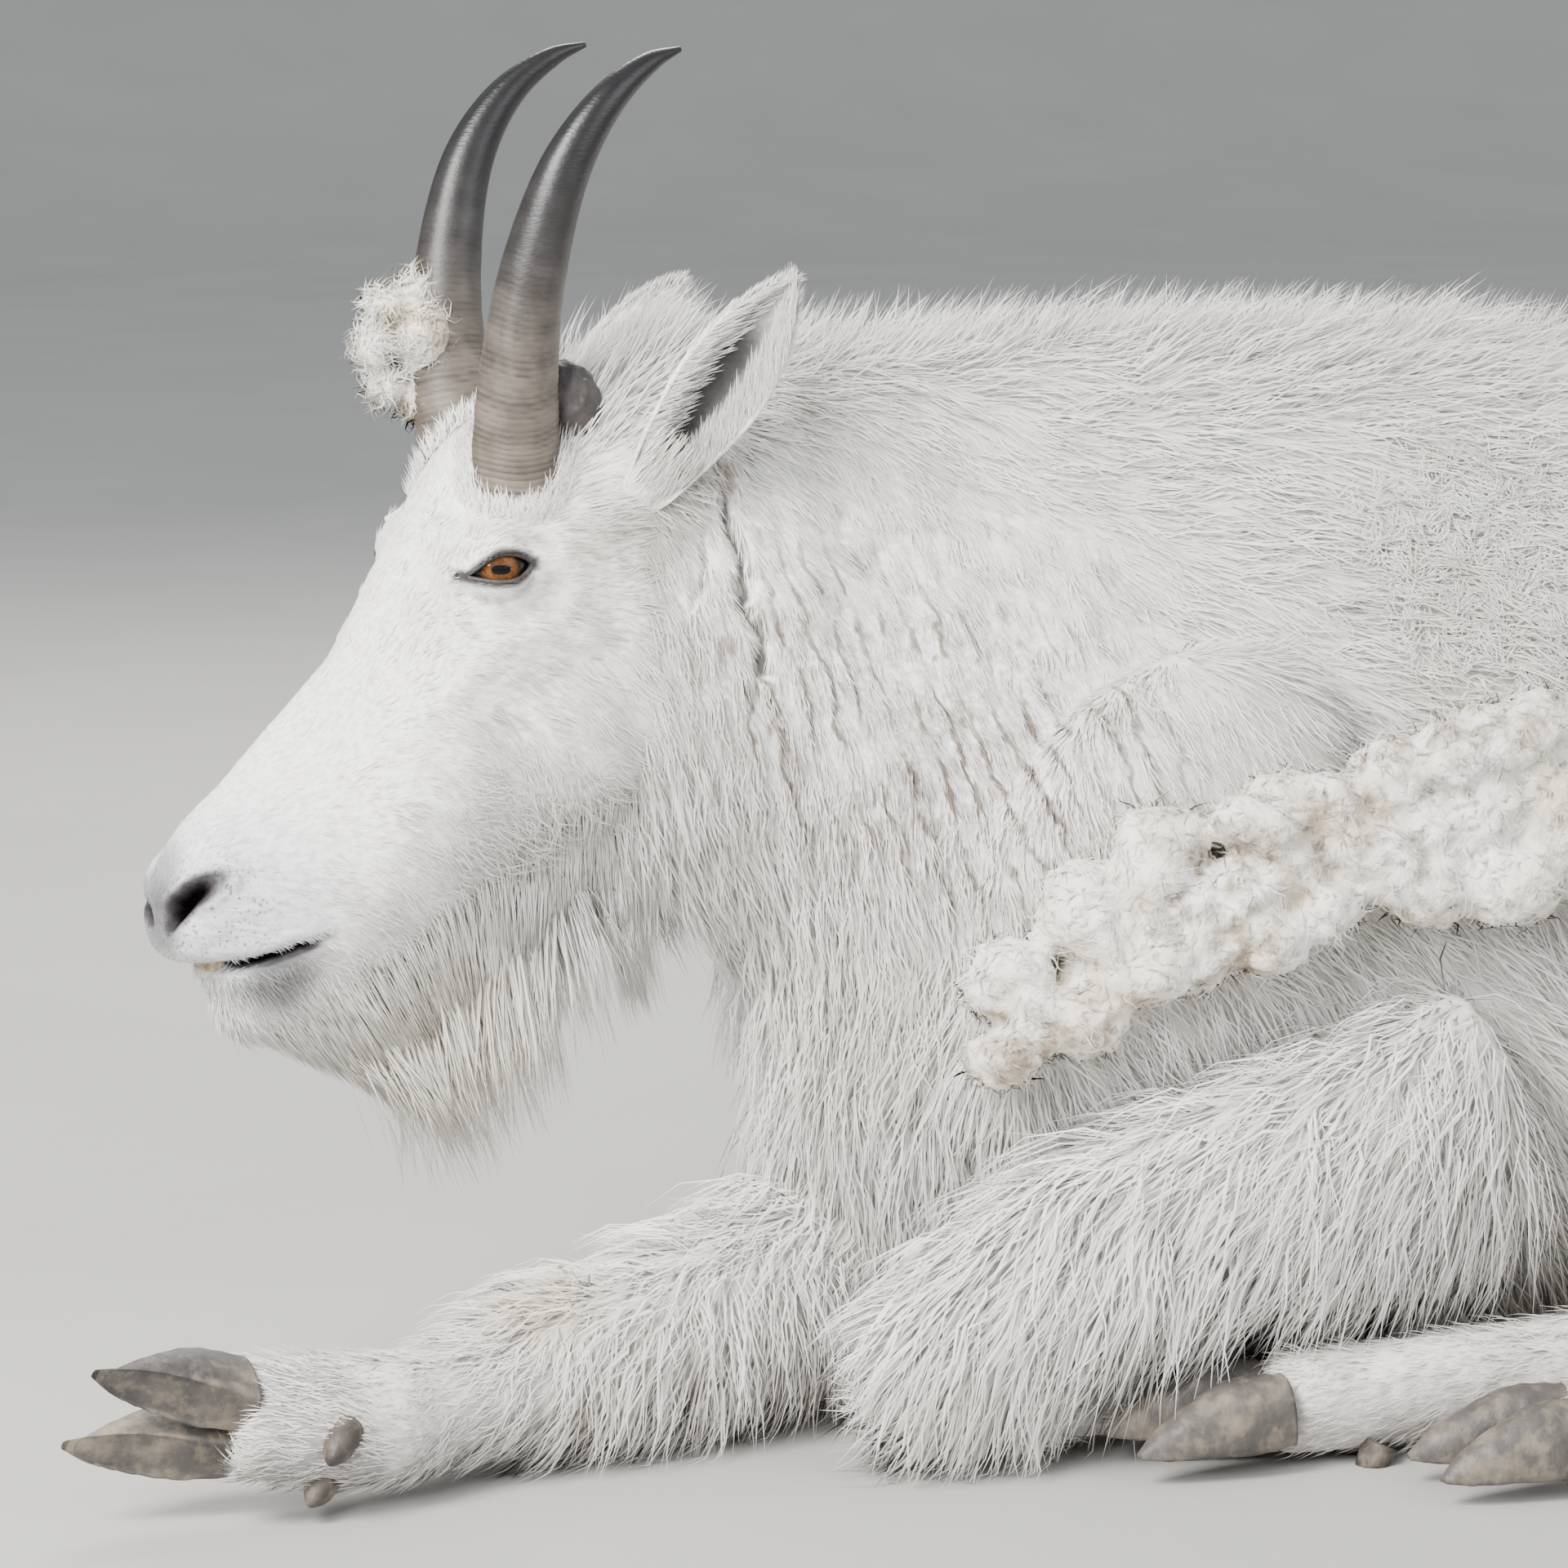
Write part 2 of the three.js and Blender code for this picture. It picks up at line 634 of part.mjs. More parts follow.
// One claw of a cloven hoof: rounded wedge from heel to tip
function claw(heel, forward, up, length, spread, grow) {
  const side = forward.clone().cross(up).normalize();
  const stations = [];
  const profile = [[0, 13, 19, 0], [0.3, 14, 21, -1], [0.6, 12, 16, -4], [0.85, 8, 10, -8], [1, 3, 4, -11]];
  for (const [t, across, deep, drop] of profile) {
    const p = heel.clone()
      .addScaledVector(forward, length * t)
      .addScaledVector(side, spread * (1 + 0.5 * t))
      .addScaledVector(up, drop);
    stations.push([p.x, p.y, p.z, across, deep]);
  }
  return limbPiece(stations, up, 0, 1, { sides: 8, perSpan: 1, power: 2.3, grow });
}

function dewclaw(base, direction, up, grow) {
  const stations = [];
  for (const [t, half] of [[0, 10], [0.5, 9], [0.8, 6], [1, 3]]) {
    const p = base.clone().addScaledVector(direction, 22 * t);
    stations.push([p.x, p.y, p.z, half, half * 0.8]);
  }
  return limbPiece(stations, up, 0, 1, { sides: 6, perSpan: 1, grow });
}

// Two claws ahead of the pastern and two dewclaws behind it
function footNodes(nodes, prefix, stations, up) {
  const placeOf = (s) => vec(s[0], s[1], s[2]);
  const end = placeOf(stations[stations.length - 1]);
  const before = placeOf(stations[stations.length - 2]);
  const forward = end.clone().sub(before).normalize();
  const side = forward.clone().cross(up).normalize();
  const back = up.clone().negate();
  const direction = back.clone().addScaledVector(forward, 0.5).normalize();
  for (const [letter, lean] of [['a', 1], ['b', -1]]) {
    nodes[`${prefix}_claw_${letter}`] = node((grow) => claw(end, forward, up, 72, 14.5 * lean, grow));
    const base = end.clone()
      .addScaledVector(forward, -48)
      .addScaledVector(side, 13 * lean)
      .addScaledVector(back, 20);
    nodes[`${prefix}_dewclaw_${letter}`] = node((grow) => dewclaw(base, direction, forward, grow));
  }
}

const TAIL = [
  [728, 22, 330, 26, 20],
  [765, 24, 300, 24, 18],
  [790, 26, 262, 18, 14],
  [800, 27, 235, 9, 8],
];

function tailPiece(grow) {
  const parts = [limbPiece(TAIL, vec(1, 0, 0), 0, 1, { grow })];
  for (let i = 0; i < 4; i++) {
    const [x, y, z] = TAIL[1 + Math.floor(i / 2)];
    const lean = i % 2 ? 1 : -1;
    const root = vec(x, y + 12 * lean, z);
    parts.push(lock(root, vec(0.5, 0.6 * lean, -0.6), vec(0.1, 0, -1), { length: 40, width: 26, thick: 10 }, grow));
  }
  return joined(parts);
}

// Shed winter wool on the left flank: a band of rounded clumps from the shoulder up to the back
const FLEECE_BAND = [
  [-116, -150, 200, 22], [-84, -160, 226, 30], [-42, -168, 252, 33], [10, -174, 270, 34],
  [66, -178, 284, 36], [126, -182, 294, 38], [190, -186, 304, 40], [250, -186, 316, 40],
];

function fleecePiece(grow) {
  const random = seeded(61);
  const band = new THREE.CatmullRomCurve3(FLEECE_BAND.map((s) => vec(s[0], s[1], s[2])), false, 'centripetal');
  const size = new THREE.CatmullRomCurve3(FLEECE_BAND.map((s) => vec(s[3], 0, 0)), false, 'centripetal');
  const count = 9;
  const clumps = [];
  for (let i = 0; i < count; i++) {
    const t = i / (count - 1);
    const reach = size.getPoint(t).x;
    for (const row of [-0.5, 0.5]) {
      const centre = band.getPoint(THREE.MathUtils.clamp(t + 0.02 * row, 0, 1));
      centre.z += row * reach * 0.95 + 8 * (random() - 0.5);
      centre.y += 4 * (random() - 0.5) + 6 * row;
      const radii = [varied(random, reach * 0.98, 0.06), varied(random, 26, 0.1), varied(random, reach * 0.8, 0.06)];
      clumps.push(blob(centre, radii, [0.5 * random(), 0.6 * random(), 0.4 * random()], 3, grow));
    }
  }
  return joined(clumps);
}

// A ball of shed wool caught on the right horn, in rounded clumps
function woolTuft(grow) {
  const random = seeded(71);
  const clumps = [headBlob(-4, -42, 98, [20, 24, 26], 0, 3, grow)];
  for (let i = 0; i < 5; i++) {
    const turn = (2 * Math.PI * i) / 5;
    const forward = 2 + 17 * Math.cos(turn);
    const up = 94 + 24 * Math.sin(turn);
    clumps.push(headBlob(forward, -45, up, [15, 19, varied(random, 15, 0.15)], 0, 3, grow));
  }
  return joined(clumps);
}

// The trunk is parted by two thin cuts: a slanted one behind the neck and one behind the ribs
function trunkNodes(nodes) {
  const neckPlace = -1100;
  const neckSlant = 0.28;
  const rearPlace = 1260;
  const trunk = trunkForms(0);
  const before = slab(vec(neckPlace, 0, 300), [2000, BIG, BIG], neckSlant);
  const beforeWide = slab(vec(neckPlace + GAP, 0, 300), [2000, BIG, BIG], neckSlant);
  const behind = slab(vec(rearPlace + GAP, 0, 300), [2000, BIG, BIG]);
  const behindWide = slab(vec(rearPlace, 0, 300), [2000, BIG, BIG]);
  nodes.neck = { solid: trunk.intersect(before) };
  nodes.torso_front = { solid: trunk.subtract(beforeWide).subtract(behindWide) };
  nodes.torso_rear = { solid: trunk.intersect(behind), wide: trunkForms(GAP) };
}

// Nodes in their order of standing: each gives way to those before it
function allNodes() {
  const nodes = {};
  for (const [name, side] of [['eye_left', 1], ['eye_right', -1]]) {
    nodes[name] = node((grow) => headBlob(0, side * EYE_SIDE, 0, [EYE_RADIUS, EYE_RADIUS, EYE_RADIUS], 0, 6, grow));
  }
  nodes.teeth = node(teethPiece);
  nodes.head = { solid: headNode().add(beard(0)), wide: headForms(GAP).add(beard(GAP)) };
  for (const [name, side] of [['left', 1], ['right', -1]]) {
    nodes[`horn_${name}`] = node((grow) => hornPiece(side, grow));
    nodes[`gland_${name}`] = node((grow) => glandPiece(side, grow));
  }
  trunkNodes(nodes);
  nodes.ear_left = node((grow) => earPiece(1, [-128, 88, 127], grow));
  nodes.ear_right = node((grow) => earPiece(-1, [-150, 70, 118], grow));
  nodes.wool_tuft = node(woolTuft);
  nodes.tail = node(tailPiece);
  limbNodes(nodes, 'fore_left', FORE_LEFT, ['upper', 'forearm'], [0, 0.3, 1]);
  limbNodes(nodes, 'fore_left', FORE_LEFT_FOOT, ['cannon'], [0, 1]);
  limbNodes(nodes, 'fore_right', FORE_RIGHT, ['upper', 'forearm', 'cannon', 'pastern'], [0, 0.2, 0.49, 0.75, 1]);
  limbNodes(nodes, 'hind_left', HIND_LEFT, ['thigh', 'shank', 'cannon', 'pastern'], [0, 0.3, 0.56, 0.82, 1]);
  limbNodes(nodes, 'hind_right', HIND_RIGHT, ['thigh', 'shank', 'cannon', 'pastern'], [0, 0.26, 0.5, 0.82, 1]);
  footNodes(nodes, 'fore_right', FORE_RIGHT, FORE_RIGHT_UP);
  footNodes(nodes, 'fore_left', FORE_LEFT_FOOT, UP);
  footNodes(nodes, 'hind_left', HIND_LEFT, UP);
  footNodes(nodes, 'hind_right', HIND_RIGHT, UP);
  nodes.fleece = node(fleecePiece);
  return nodes;
}

function apart(a, b) {
  const p = a.boundingBox();
  const q = b.boundingBox();
  return [0, 1, 2].some((i) => p.max[i] < q.min[i] || q.max[i] < p.min[i]);
}

function material(name) {
  let color = COAT;
  let roughness = 0.95;
  if (name.startsWith('horn')) {
    color = HORN;
    roughness = 0.4;
  } else if (name.includes('claw')) {
    color = HOOF;
    roughness = 0.6;
  } else if (name.startsWith('gland')) {
    color = DARK_SKIN;
  } else if (name.startsWith('eye')) {
    color = 0x9a6a2c;
    roughness = 0.1;
  } else if (name === 'fleece' || name === 'wool_tuft') {
    color = WOOL;
  }
  return new THREE.MeshStandardMaterial({ color, roughness, metalness: 0 });
}

function meshFrom(name, solid) {
  const result = solid.getMesh();
  const geometry = new THREE.BufferGeometry();
  geometry.setAttribute('position', new THREE.BufferAttribute(result.vertProperties, 3));
  geometry.setIndex(new THREE.BufferAttribute(result.triVerts, 1));
  const mesh = new THREE.Mesh(geometry, material(name));
  mesh.name = name;
  return mesh;
}

const goat = new THREE.Group();
const standing = [];
for (const [name, { solid, wide }] of Object.entries(allNodes())) {
  let clear = solid.subtract(FLOOR);
  for (const other of standing) {
    if (!apart(clear, other)) clear = clear.subtract(other);
  }
  goat.add(meshFrom(name, largest(clear)));
  if (wide) standing.push(wide);
}

export default goat;
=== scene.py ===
"""Looks of the resting mountain goat: a skin under a coat of solid tufts, horns, eyes, hooves and shed wool.

The goat faces -X, its left side is -Y and +Z is up. Tables are in millimetres, meshes in metres.
"""

import math

import bmesh
import bpy
import numpy as np
from mathutils import Euler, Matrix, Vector


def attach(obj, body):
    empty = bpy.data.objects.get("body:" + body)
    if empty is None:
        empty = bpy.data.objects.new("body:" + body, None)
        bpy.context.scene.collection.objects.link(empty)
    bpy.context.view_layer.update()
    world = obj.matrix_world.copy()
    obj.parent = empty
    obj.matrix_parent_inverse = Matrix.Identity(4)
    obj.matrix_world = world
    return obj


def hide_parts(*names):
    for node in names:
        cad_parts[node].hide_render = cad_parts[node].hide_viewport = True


MM = 0.001
SEED = 7
UP = np.array([0.0, 0.0, 1.0])
DOWN = -UP
SIDES = ((1, "left"), (-1, "right"))

# Head frame: forward, to the goat's left, up from the middle between the eyes
EYE_MID = np.array([-329.0, -10.0, 409.0])
HEAD_YAW = math.radians(5)
HEAD_FORWARD = np.array([-math.cos(HEAD_YAW), -math.sin(HEAD_YAW), 0.0])
HEAD_LEFT = np.array([math.sin(HEAD_YAW), -math.cos(HEAD_YAW), 0.0])
EYE_RADIUS = 15.0
EYE_SIDE = 45.0
LID_HALF = 15.5

# How far the skin lies inside the solids, which reach to the outside of the coat
HEAD_COAT = 4.0
BODY_COAT = 12.0
LIMB_COATS = {
    "fore_left": [12, 14, 14, 12, 10, 7, 5],
    "fore_left_foot": 3.5,
    "fore_right": [14, 14, 13, 11, 8, 5, 4, 4, 3.5, 3.5],
    "hind_left": [14, 14, 14, 12, 8, 6, 5, 4, 3.5, 3.5],
    "hind_right": [14, 14, 12, 9, 6, 5, 4, 3.5, 3.5],
    "tail": 6,
}
VOXEL = 0.0055

# Head sections: forward, top, bottom, half width near the top, at the middle, near the bottom
HEAD_SECTIONS = [
    [150, -147, -168, 8, 14, 10],
    [146, -133, -175, 19, 27, 23],
    [139, -119, -179, 25, 33, 30],
    [130, -106, -181, 26, 35, 33],
    [122, -98, -187, 26, 36, 31],
    [118, -95, -205, 26, 37, 25],
    [110, -86, -217, 25, 38, 25],
    [95, -70, -221, 26, 40, 26],
    [76, -51, -218, 28, 43, 29],
    [60, -36, -213, 31, 47, 32],
    [39, -2, -202, 40, 53, 36],
    [20, 31, -188, 49, 57, 40],
    [0, 60, -173, 52, 59, 42],
    [-20, 71, -160, 53, 61, 45],
    [-45, 84, -142, 52, 62, 47],
    [-95, 103, -118, 51, 62, 52],
    [-118, 106, -118, 50, 62, 53],
]

# Neck and trunk sections: along X, sideways shift, top, bottom, half widths as above
TRUNK_SECTIONS = [
    [-262, -9, 501, 262, 46, 70, 52],
    [-230, -7, 507, 234, 50, 78, 58],
    [-200, -5, 511, 218, 53, 85, 64],
    [-182, -4, 512, 202, 56, 92, 68],
    [-171, -3, 513, 160, 58, 98, 66],
    [-163, -2, 513, 116, 60, 104, 66],
    [-150, -1, 514, 80, 63, 112, 74],
    [-120, 0, 514, 40, 70, 124, 88],
    [-80, 0, 514, 10, 78, 138, 102],
    [-30, 0, 514, -8, 88, 150, 116],
    [40, 0, 514, -12, 98, 156, 124],
    [120, 0, 512, -12, 108, 162, 134],
    [210, 0, 507, -12, 120, 172, 146],
    [310, 0, 498, -12, 130, 182, 154],
    [410, 3, 489, -12, 134, 184, 154],
    [500, 8, 478, -12, 128, 176, 146],
    [580, 14, 460, -12, 116, 160, 130],
    [650, 18, 432, -8, 98, 136, 108],
    [705, 20, 390, 20, 74, 104, 82],
    [745, 20, 340, 90, 40, 62, 44],
]

# Horn line: forward, outward, up, half thickness
HORN_LINE = [
    [-18, 29, 35, 20.5],
    [-17.5, 31, 53, 20.5],
    [-15.6, 39, 88, 18.5],
    [-19.4, 46.5, 132, 15.8],
    [-33, 53, 179, 12.2],
    [-53, 54.5, 208, 8.6],
    [-75.5, 52, 224.5, 5.0],
    [-91, 50, 230, 1.6],
]

# Legs and tail, from the body outward: x, y, z, half width, half depth
FORE_LEFT = [
    [120, -166, 150, 50, 74],
    [50, -176, 130, 52, 70],
    [-35, -170, 114, 48, 60],
    [-100, -160, 84, 43, 54],
    [-143, -152, 54, 39, 49],
    [-170, -149, 46, 28, 38],
    [-186, -148, 44, 10, 14],
]
FORE_LEFT_FOOT = [
    [-122, -146, 28, 30, 26],
    [-66, -140, 26, 24, 24],
    [-20, -136, 24, 22, 22],
    [12, -134, 22, 22, 20],
]
FORE_RIGHT = [
    [-70, 50, 100, 54, 66],
    [-130, 6, 74, 54, 62],
    [-195, -34, 58, 48, 56],
    [-255, -56, 50, 42, 48],
    [-305, -70, 46, 36, 42],
    [-345, -86, 40, 29, 34],
    [-378, -100, 37, 28, 31],
    [-404, -111, 37, 30, 35],
    [-440, -119, 42, 28, 35],
    [-472, -122, 47, 26, 33],
]
HIND_LEFT = [
    [610, -90, 300, 90, 110],
    [545, -182, 246, 80, 128],
    [474, -232, 196, 70, 106],
    [420, -268, 130, 54, 74],
    [370, -300, 72, 40, 50],
    [330, -318, 50, 30, 44],
    [270, -315, 36, 24, 32],
    [205, -302, 30, 22, 27],
    [145, -291, 27, 23, 27],
    [106, -286, 25, 22, 25],
]
HIND_RIGHT = [
    [520, 40, 120, 80, 100],
    [440, -20, 84, 74, 84],
    [360, -95, 62, 60, 62],
    [290, -160, 50, 44, 50],
    [240, -202, 42, 32, 42],
    [180, -212, 36, 25, 33],
    [100, -208, 33, 22, 28],
    [34, -203, 29, 23, 28],
    [-4, -200, 27, 22, 26],
]
TAIL = [
    [728, 22, 330, 26, 20],
    [765, 24, 300, 24, 18],
    [790, 26, 262, 18, 14],
    [800, 27, 235, 9, 8],
]
FORE_RIGHT_UP = np.array([0.2, 0.85, 0.5]) / np.linalg.norm([0.2, 0.85, 0.5])
LIMBS = {
    "fore_left": (FORE_LEFT, UP),
    "fore_left_foot": (FORE_LEFT_FOOT, UP),
    "fore_right": (FORE_RIGHT, FORE_RIGHT_UP),
    "hind_left": (HIND_LEFT, UP),
    "hind_right": (HIND_RIGHT, UP),
    "tail": (TAIL, np.array([1.0, 0.0, 0.0])),
}

# Masses of muscle over the trunk's sections: centre, radii, turn
MUSCLES = [
    [(-20, -112, 235), (110, 52, 150), (0.1, 0.35, 0)],
    [(-40, 108, 240), (110, 50, 150), (-0.1, 0.35, 0)],
    [(610, -70, 300), (150, 70, 128), (0.2, -0.4, 0)],
    [(600, 90, 170), (130, 90, 150), (0, -0.3, 0)],
]

# Brow and cheek on both sides of the head: forward, outward, up, radii, pitch
HEAD_MASSES = [
    [-3, 46, 13, (24, 13, 10), 0.15],
    [-42, 44, -70, (44, 21, 50), 0.5],
]

# Middle of the back seen from above: along X, then sideways
BACK_LINE = [[-262, 0, 745], [-9, 0, 20]]

# On the left of the head: forward, outward, up
NOSTRIL = np.array([[153, 10, -158], [149, 19, -150], [142, 27, -141], [132, 34, -134], [120, 39, -127]])
TEAR_FOLD = np.array([[17, 50, -5], [30, 47, -14], [40, 45, -24]])
TEAR_DUCT = np.array([[16, 50, -3], [23, 49, -8]])

# Line of the mouth from its corner: forward, then up; how far it gapes: forward, then height
MOUTH = [[78, 104, 132, 156], [-163, -171, -176, -177]]
GAPE = [[78, 104, 120, 134, 150], [0.3, 0.6, 2.2, 4.5, 6.0]]


# Small helpers


def unit(v):
    """Vectors of length one along the last axis."""
    v = np.asarray(v, float)
    return v / np.maximum(np.linalg.norm(v, axis=-1, keepdims=True), 1e-9)


def smooth(low, high, x):
    """0 below low, 1 above high, with a soft step between."""
    t = np.clip((np.asarray(x, float) - low) / (high - low), 0, 1)
    return t * t * (3 - 2 * t)


def hill(x, middle, width):
    """A smooth bump, 1 at its middle."""
    return np.exp(-(((x - middle) / width) ** 2))


def waves(points, scale, seed):
    """A soft random value from about -1 to 1 at each point, made of crossing waves."""
    rng = np.random.default_rng(seed)
    total = np.zeros(len(points))
    for k in range(5):
        direction = unit(rng.normal(size=3)) * (2 * math.pi / scale) * (0.6 + 0.25 * k)
        total += np.sin(points @ direction + rng.uniform(0, 2 * math.pi))
    return total / 3


def head_point(forward, left, up):
    """A point given in the head frame, in millimetres of the world."""
    return (
        EYE_MID
        + np.multiply.outer(forward, HEAD_FORWARD)
        + np.multiply.outer(left, HEAD_LEFT)
        + np.multiply.outer(up, UP)
    )


def head_place(points):
    """Forward, left and up in the head frame of points in millimetres of the world."""
    d = points - EYE_MID
    return d @ HEAD_FORWARD, d @ HEAD_LEFT, d @ UP


# Curves and closed forms, as the solids are made


def spline(points, t, closed=False):
    """Points at t, from 0 to 1, on the centripetal curve through the given points."""
    pts = np.asarray(points, float)
    count = len(pts)
    span = np.asarray(t, float) * (count if closed else count - 1)
    index = np.floor(span).astype(int)
    if closed:
        weight = span - index
        p0, p1, p2, p3 = (pts[(index + k) % count] for k in (-1, 0, 1, 2))
    else:
        index = np.clip(index, 0, count - 2)
        weight = span - index
        pts = np.vstack([2 * pts[0] - pts[1], pts, 2 * pts[-1] - pts[-2]])
        p0, p1, p2, p3 = (pts[index + k] for k in range(4))
    d1 = np.linalg.norm(p2 - p1, axis=-1, keepdims=True) ** 0.5
    d1 = np.where(d1 < 1e-3, 1.0, d1)
    d0 = np.linalg.norm(p1 - p0, axis=-1, keepdims=True) ** 0.5
    d2 = np.linalg.norm(p3 - p2, axis=-1, keepdims=True) ** 0.5
    d0 = np.where(d0 < 1e-3, d1, d0)
    d2 = np.where(d2 < 1e-3, d1, d2)
    m1 = ((p1 - p0) / d0 - (p2 - p0) / (d0 + d1) + (p2 - p1) / d1) * d1
    m2 = ((p2 - p1) / d1 - (p3 - p1) / (d1 + d2) + (p3 - p2) / d2) * d1
    w = weight[..., None]
    return (
        (2 * w**3 - 3 * w**2 + 1) * p1
        + (w**3 - 2 * w**2 + w) * m1
        + (3 * w**2 - 2 * w**3) * p2
        + (w**3 - w**2) * m2
    )


def loft(rings):
    """Vertices and faces of a closed body through rings of equal length."""
    count, sides = rings.shape[:2]
    verts = np.vstack([rings.reshape(-1, 3), rings[0].mean(0), rings[-1].mean(0)])
    faces = []
    for r in range(count - 1):
        for i in range(sides):
            j = (i + 1) % sides
            a, b = r * sides + i, r * sides + j
            faces.append((a, b, b + sides, a + sides))
    first, last = count * sides, count * sides + 1
    for i in range(sides):
        j = (i + 1) % sides
        faces.append((j, i, first))
        faces.append(((count - 1) * sides + i, (count - 1) * sides + j, last))
    return verts, faces


def section_ring(top, bottom, upper, middle, lower, sides):
    """A rounded section as sideways and upward offsets."""
    height = top - bottom
    outline = [
        [0, top],
        [upper, top - 0.2 * height],
        [middle, top - 0.52 * height],
        [lower, bottom + 0.16 * height],
        [0, bottom],
        [-lower, bottom + 0.16 * height],
        [-middle, top - 0.52 * height],
        [-upper, top - 0.2 * height],
    ]
    return spline(outline, np.arange(sides) / sides, closed=True)


def head_loft(inset, sides=40):
    """The head inside its solid by the inset."""
    rings = []
    for forward, top, bottom, *widths in HEAD_SECTIONS:
        shift = inset if forward == HEAD_SECTIONS[0][0] else 0
        ring = section_ring(top - inset, bottom + inset, *[w - inset for w in widths], sides)
        rings.append(head_point(np.full(sides, forward - shift), ring[:, 0], ring[:, 1]))
    return loft(np.array(rings))


def trunk_loft(inset, sides=48):
    """Neck and trunk inside their solids by the inset."""
    rings = []
    for x, shift, top, bottom, *widths in TRUNK_SECTIONS:
        ring = section_ring(top - inset, bottom + inset, *[w - inset for w in widths], sides)
        rings.append(np.column_stack([np.full(sides, x), ring[:, 0] + shift, ring[:, 1]]))
    return loft(np.array(rings))


def limb_frames(stations, up, count):
    """Centres, directions, sideways and upward axes and half sizes along a limb."""
    t = np.linspace(0, 1, count)
    stations = np.asarray(stations, float)
    centres = spline(stations[:, :3], t)
    ahead = spline(stations[:, :3], np.clip(t + 1e-3, 0, 1))
    behind = spline(stations[:, :3], np.clip(t - 1e-3, 0, 1))
    along = unit(ahead - behind)
    side = unit(np.cross(along, up))
    top = unit(np.cross(side, along))
    half = spline(np.column_stack([stations[:, 3:5], np.zeros(len(stations))]), t)[:, :2]
    return centres, along, side, top, half


def tube_rings(centres, half, across, deep, side, top):
    """A loft round centres, through points given as shares of the half sizes on two axes."""
    wide = (half[:, :1] * across)[..., None] * side[:, None]
    high = (half[:, 1:] * deep)[..., None] * top[:, None]
    return loft(centres[:, None] + wide + high)


def limb(stations, up=UP, inset=0.0, sides=28, per_span=5, power=2.0):
    """A closed form round a curved middle line; the inset is one depth or a list along it."""
    count = (len(stations) - 1) * per_span + 1
    centres, _, side, top, half = limb_frames(stations, up, count)
    share = np.linspace(0, 1, count)
    inset = np.interp(share, np.linspace(0, 1, np.size(inset)), np.atleast_1d(inset))
    angle = 2 * math.pi * np.arange(sides) / sides
    c, s = np.cos(angle), np.sin(angle)
    across = np.sign(c) * np.abs(c) ** (2 / power)
    deep = np.sign(s) * np.abs(s) ** (2 / power)
    return tube_rings(centres, np.maximum(half - inset[:, None], 1.0), across, deep, side, top)


def blob(centre, radii, turn=(0, 0, 0), inset=0.0, detail=24):
    """A turned ellipsoid."""
    polar = np.linspace(0, math.pi, detail // 2 + 1)[1:-1, None]
    angle = 2 * math.pi * np.arange(detail) / detail
    level = np.broadcast_to(np.cos(polar), (len(polar), detail))
    rings = np.stack([np.sin(polar) * np.cos(angle), level, np.sin(polar) * np.sin(angle)], axis=-1)
    verts, faces = loft(rings)
    verts[-2:] = [[0, 1, 0], [0, -1, 0]]
    verts = verts * (np.asarray(radii, float) - inset)
    matrix = np.array(Euler(turn, "XYZ").to_matrix())
    return verts @ matrix.T + centre, faces


def head_blob(forward, left, up, radii, pitch=0.0, inset=0.0, detail=24):
    """An ellipsoid placed and turned in the head frame."""
    return blob(head_point(forward, left, up), radii, (0, pitch, HEAD_YAW), inset, detail)


def merged(parts):
    """Several closed forms as one list of vertices and faces."""
    verts, faces, start = [], [], 0
    for v, f in parts:
        verts.append(v)
        faces += [tuple(i + start for i in face) for face in f]
        start += len(v)
    return np.vstack(verts), faces


# Blender objects


def mesh_object(name, verts, faces, material=None):
    """A smooth mesh object from millimetre vertices."""
    mesh = bpy.data.meshes.new(name)
    mesh.from_pydata((np.asarray(verts) * MM).tolist(), [], faces)
    mesh.validate()
    mesh.shade_smooth()
    if material:
        mesh.materials.append(material)
    return linked(bpy.data.objects.new(name, mesh))


def linked(obj):
    """The object, placed in the scene."""
    bpy.context.scene.collection.objects.link(obj)
    return obj


def riding(obj, slot, *nodes):
    """The object as a piece of the body, standing for the given nodes."""
    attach(obj, "root")
    if nodes:
        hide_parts(*nodes)
    return obj


def dressed(name, form, material, slot, *nodes):
    """One riding piece from the vertices and faces of a form."""
    return riding(mesh_object(name, *form, material), slot, *nodes)


def remeshed(name, parts, voxel, rounds, material):
    """One closed surface round several forms, smoothed."""
    obj = mesh_object(name, *merged(parts))
    outer = obj.modifiers.new("outer", "REMESH")
    outer.mode = "VOXEL"
    outer.voxel_size = voxel
    soften = obj.modifiers.new("soften", "SMOOTH")
    soften.iterations = rounds
    soften.factor = 0.5
    bpy.context.view_layer.update()
    graph = bpy.context.evaluated_depsgraph_get()
    mesh = bpy.data.meshes.new_from_object(obj.evaluated_get(graph))
    obj.modifiers.clear()
    obj.data = mesh
    mesh.name = name
    mesh.shade_smooth()
    mesh.materials.append(material)
    return obj


def vertex_array(mesh, what="co"):
    """Vertex places in millimetres, or normals."""
    values = np.zeros(len(mesh.vertices) * 3)
    if what == "normal":
        mesh.vertex_normals.foreach_get("vector", values)
        return values.reshape(-1, 3)
    mesh.vertices.foreach_get("co", values)
    return values.reshape(-1, 3) / MM


def set_vertices(mesh, points):
    """Moves the vertices to places in millimetres."""
    mesh.vertices.foreach_set("co", np.ascontiguousarray(points * MM, float).ravel())
    mesh.update()


def mask_array(mesh, name):
    values = np.zeros(len(mesh.vertices), np.float32)
    mesh.attributes[name].data.foreach_get("value", values)
    return values


def set_mask(mesh, name, values):
    data = mesh.attributes.new(name, "FLOAT", "POINT").data
    data.foreach_set("value", np.asarray(values, np.float32))


# Regions of the surface: each point belongs to the form that it lies round most closely

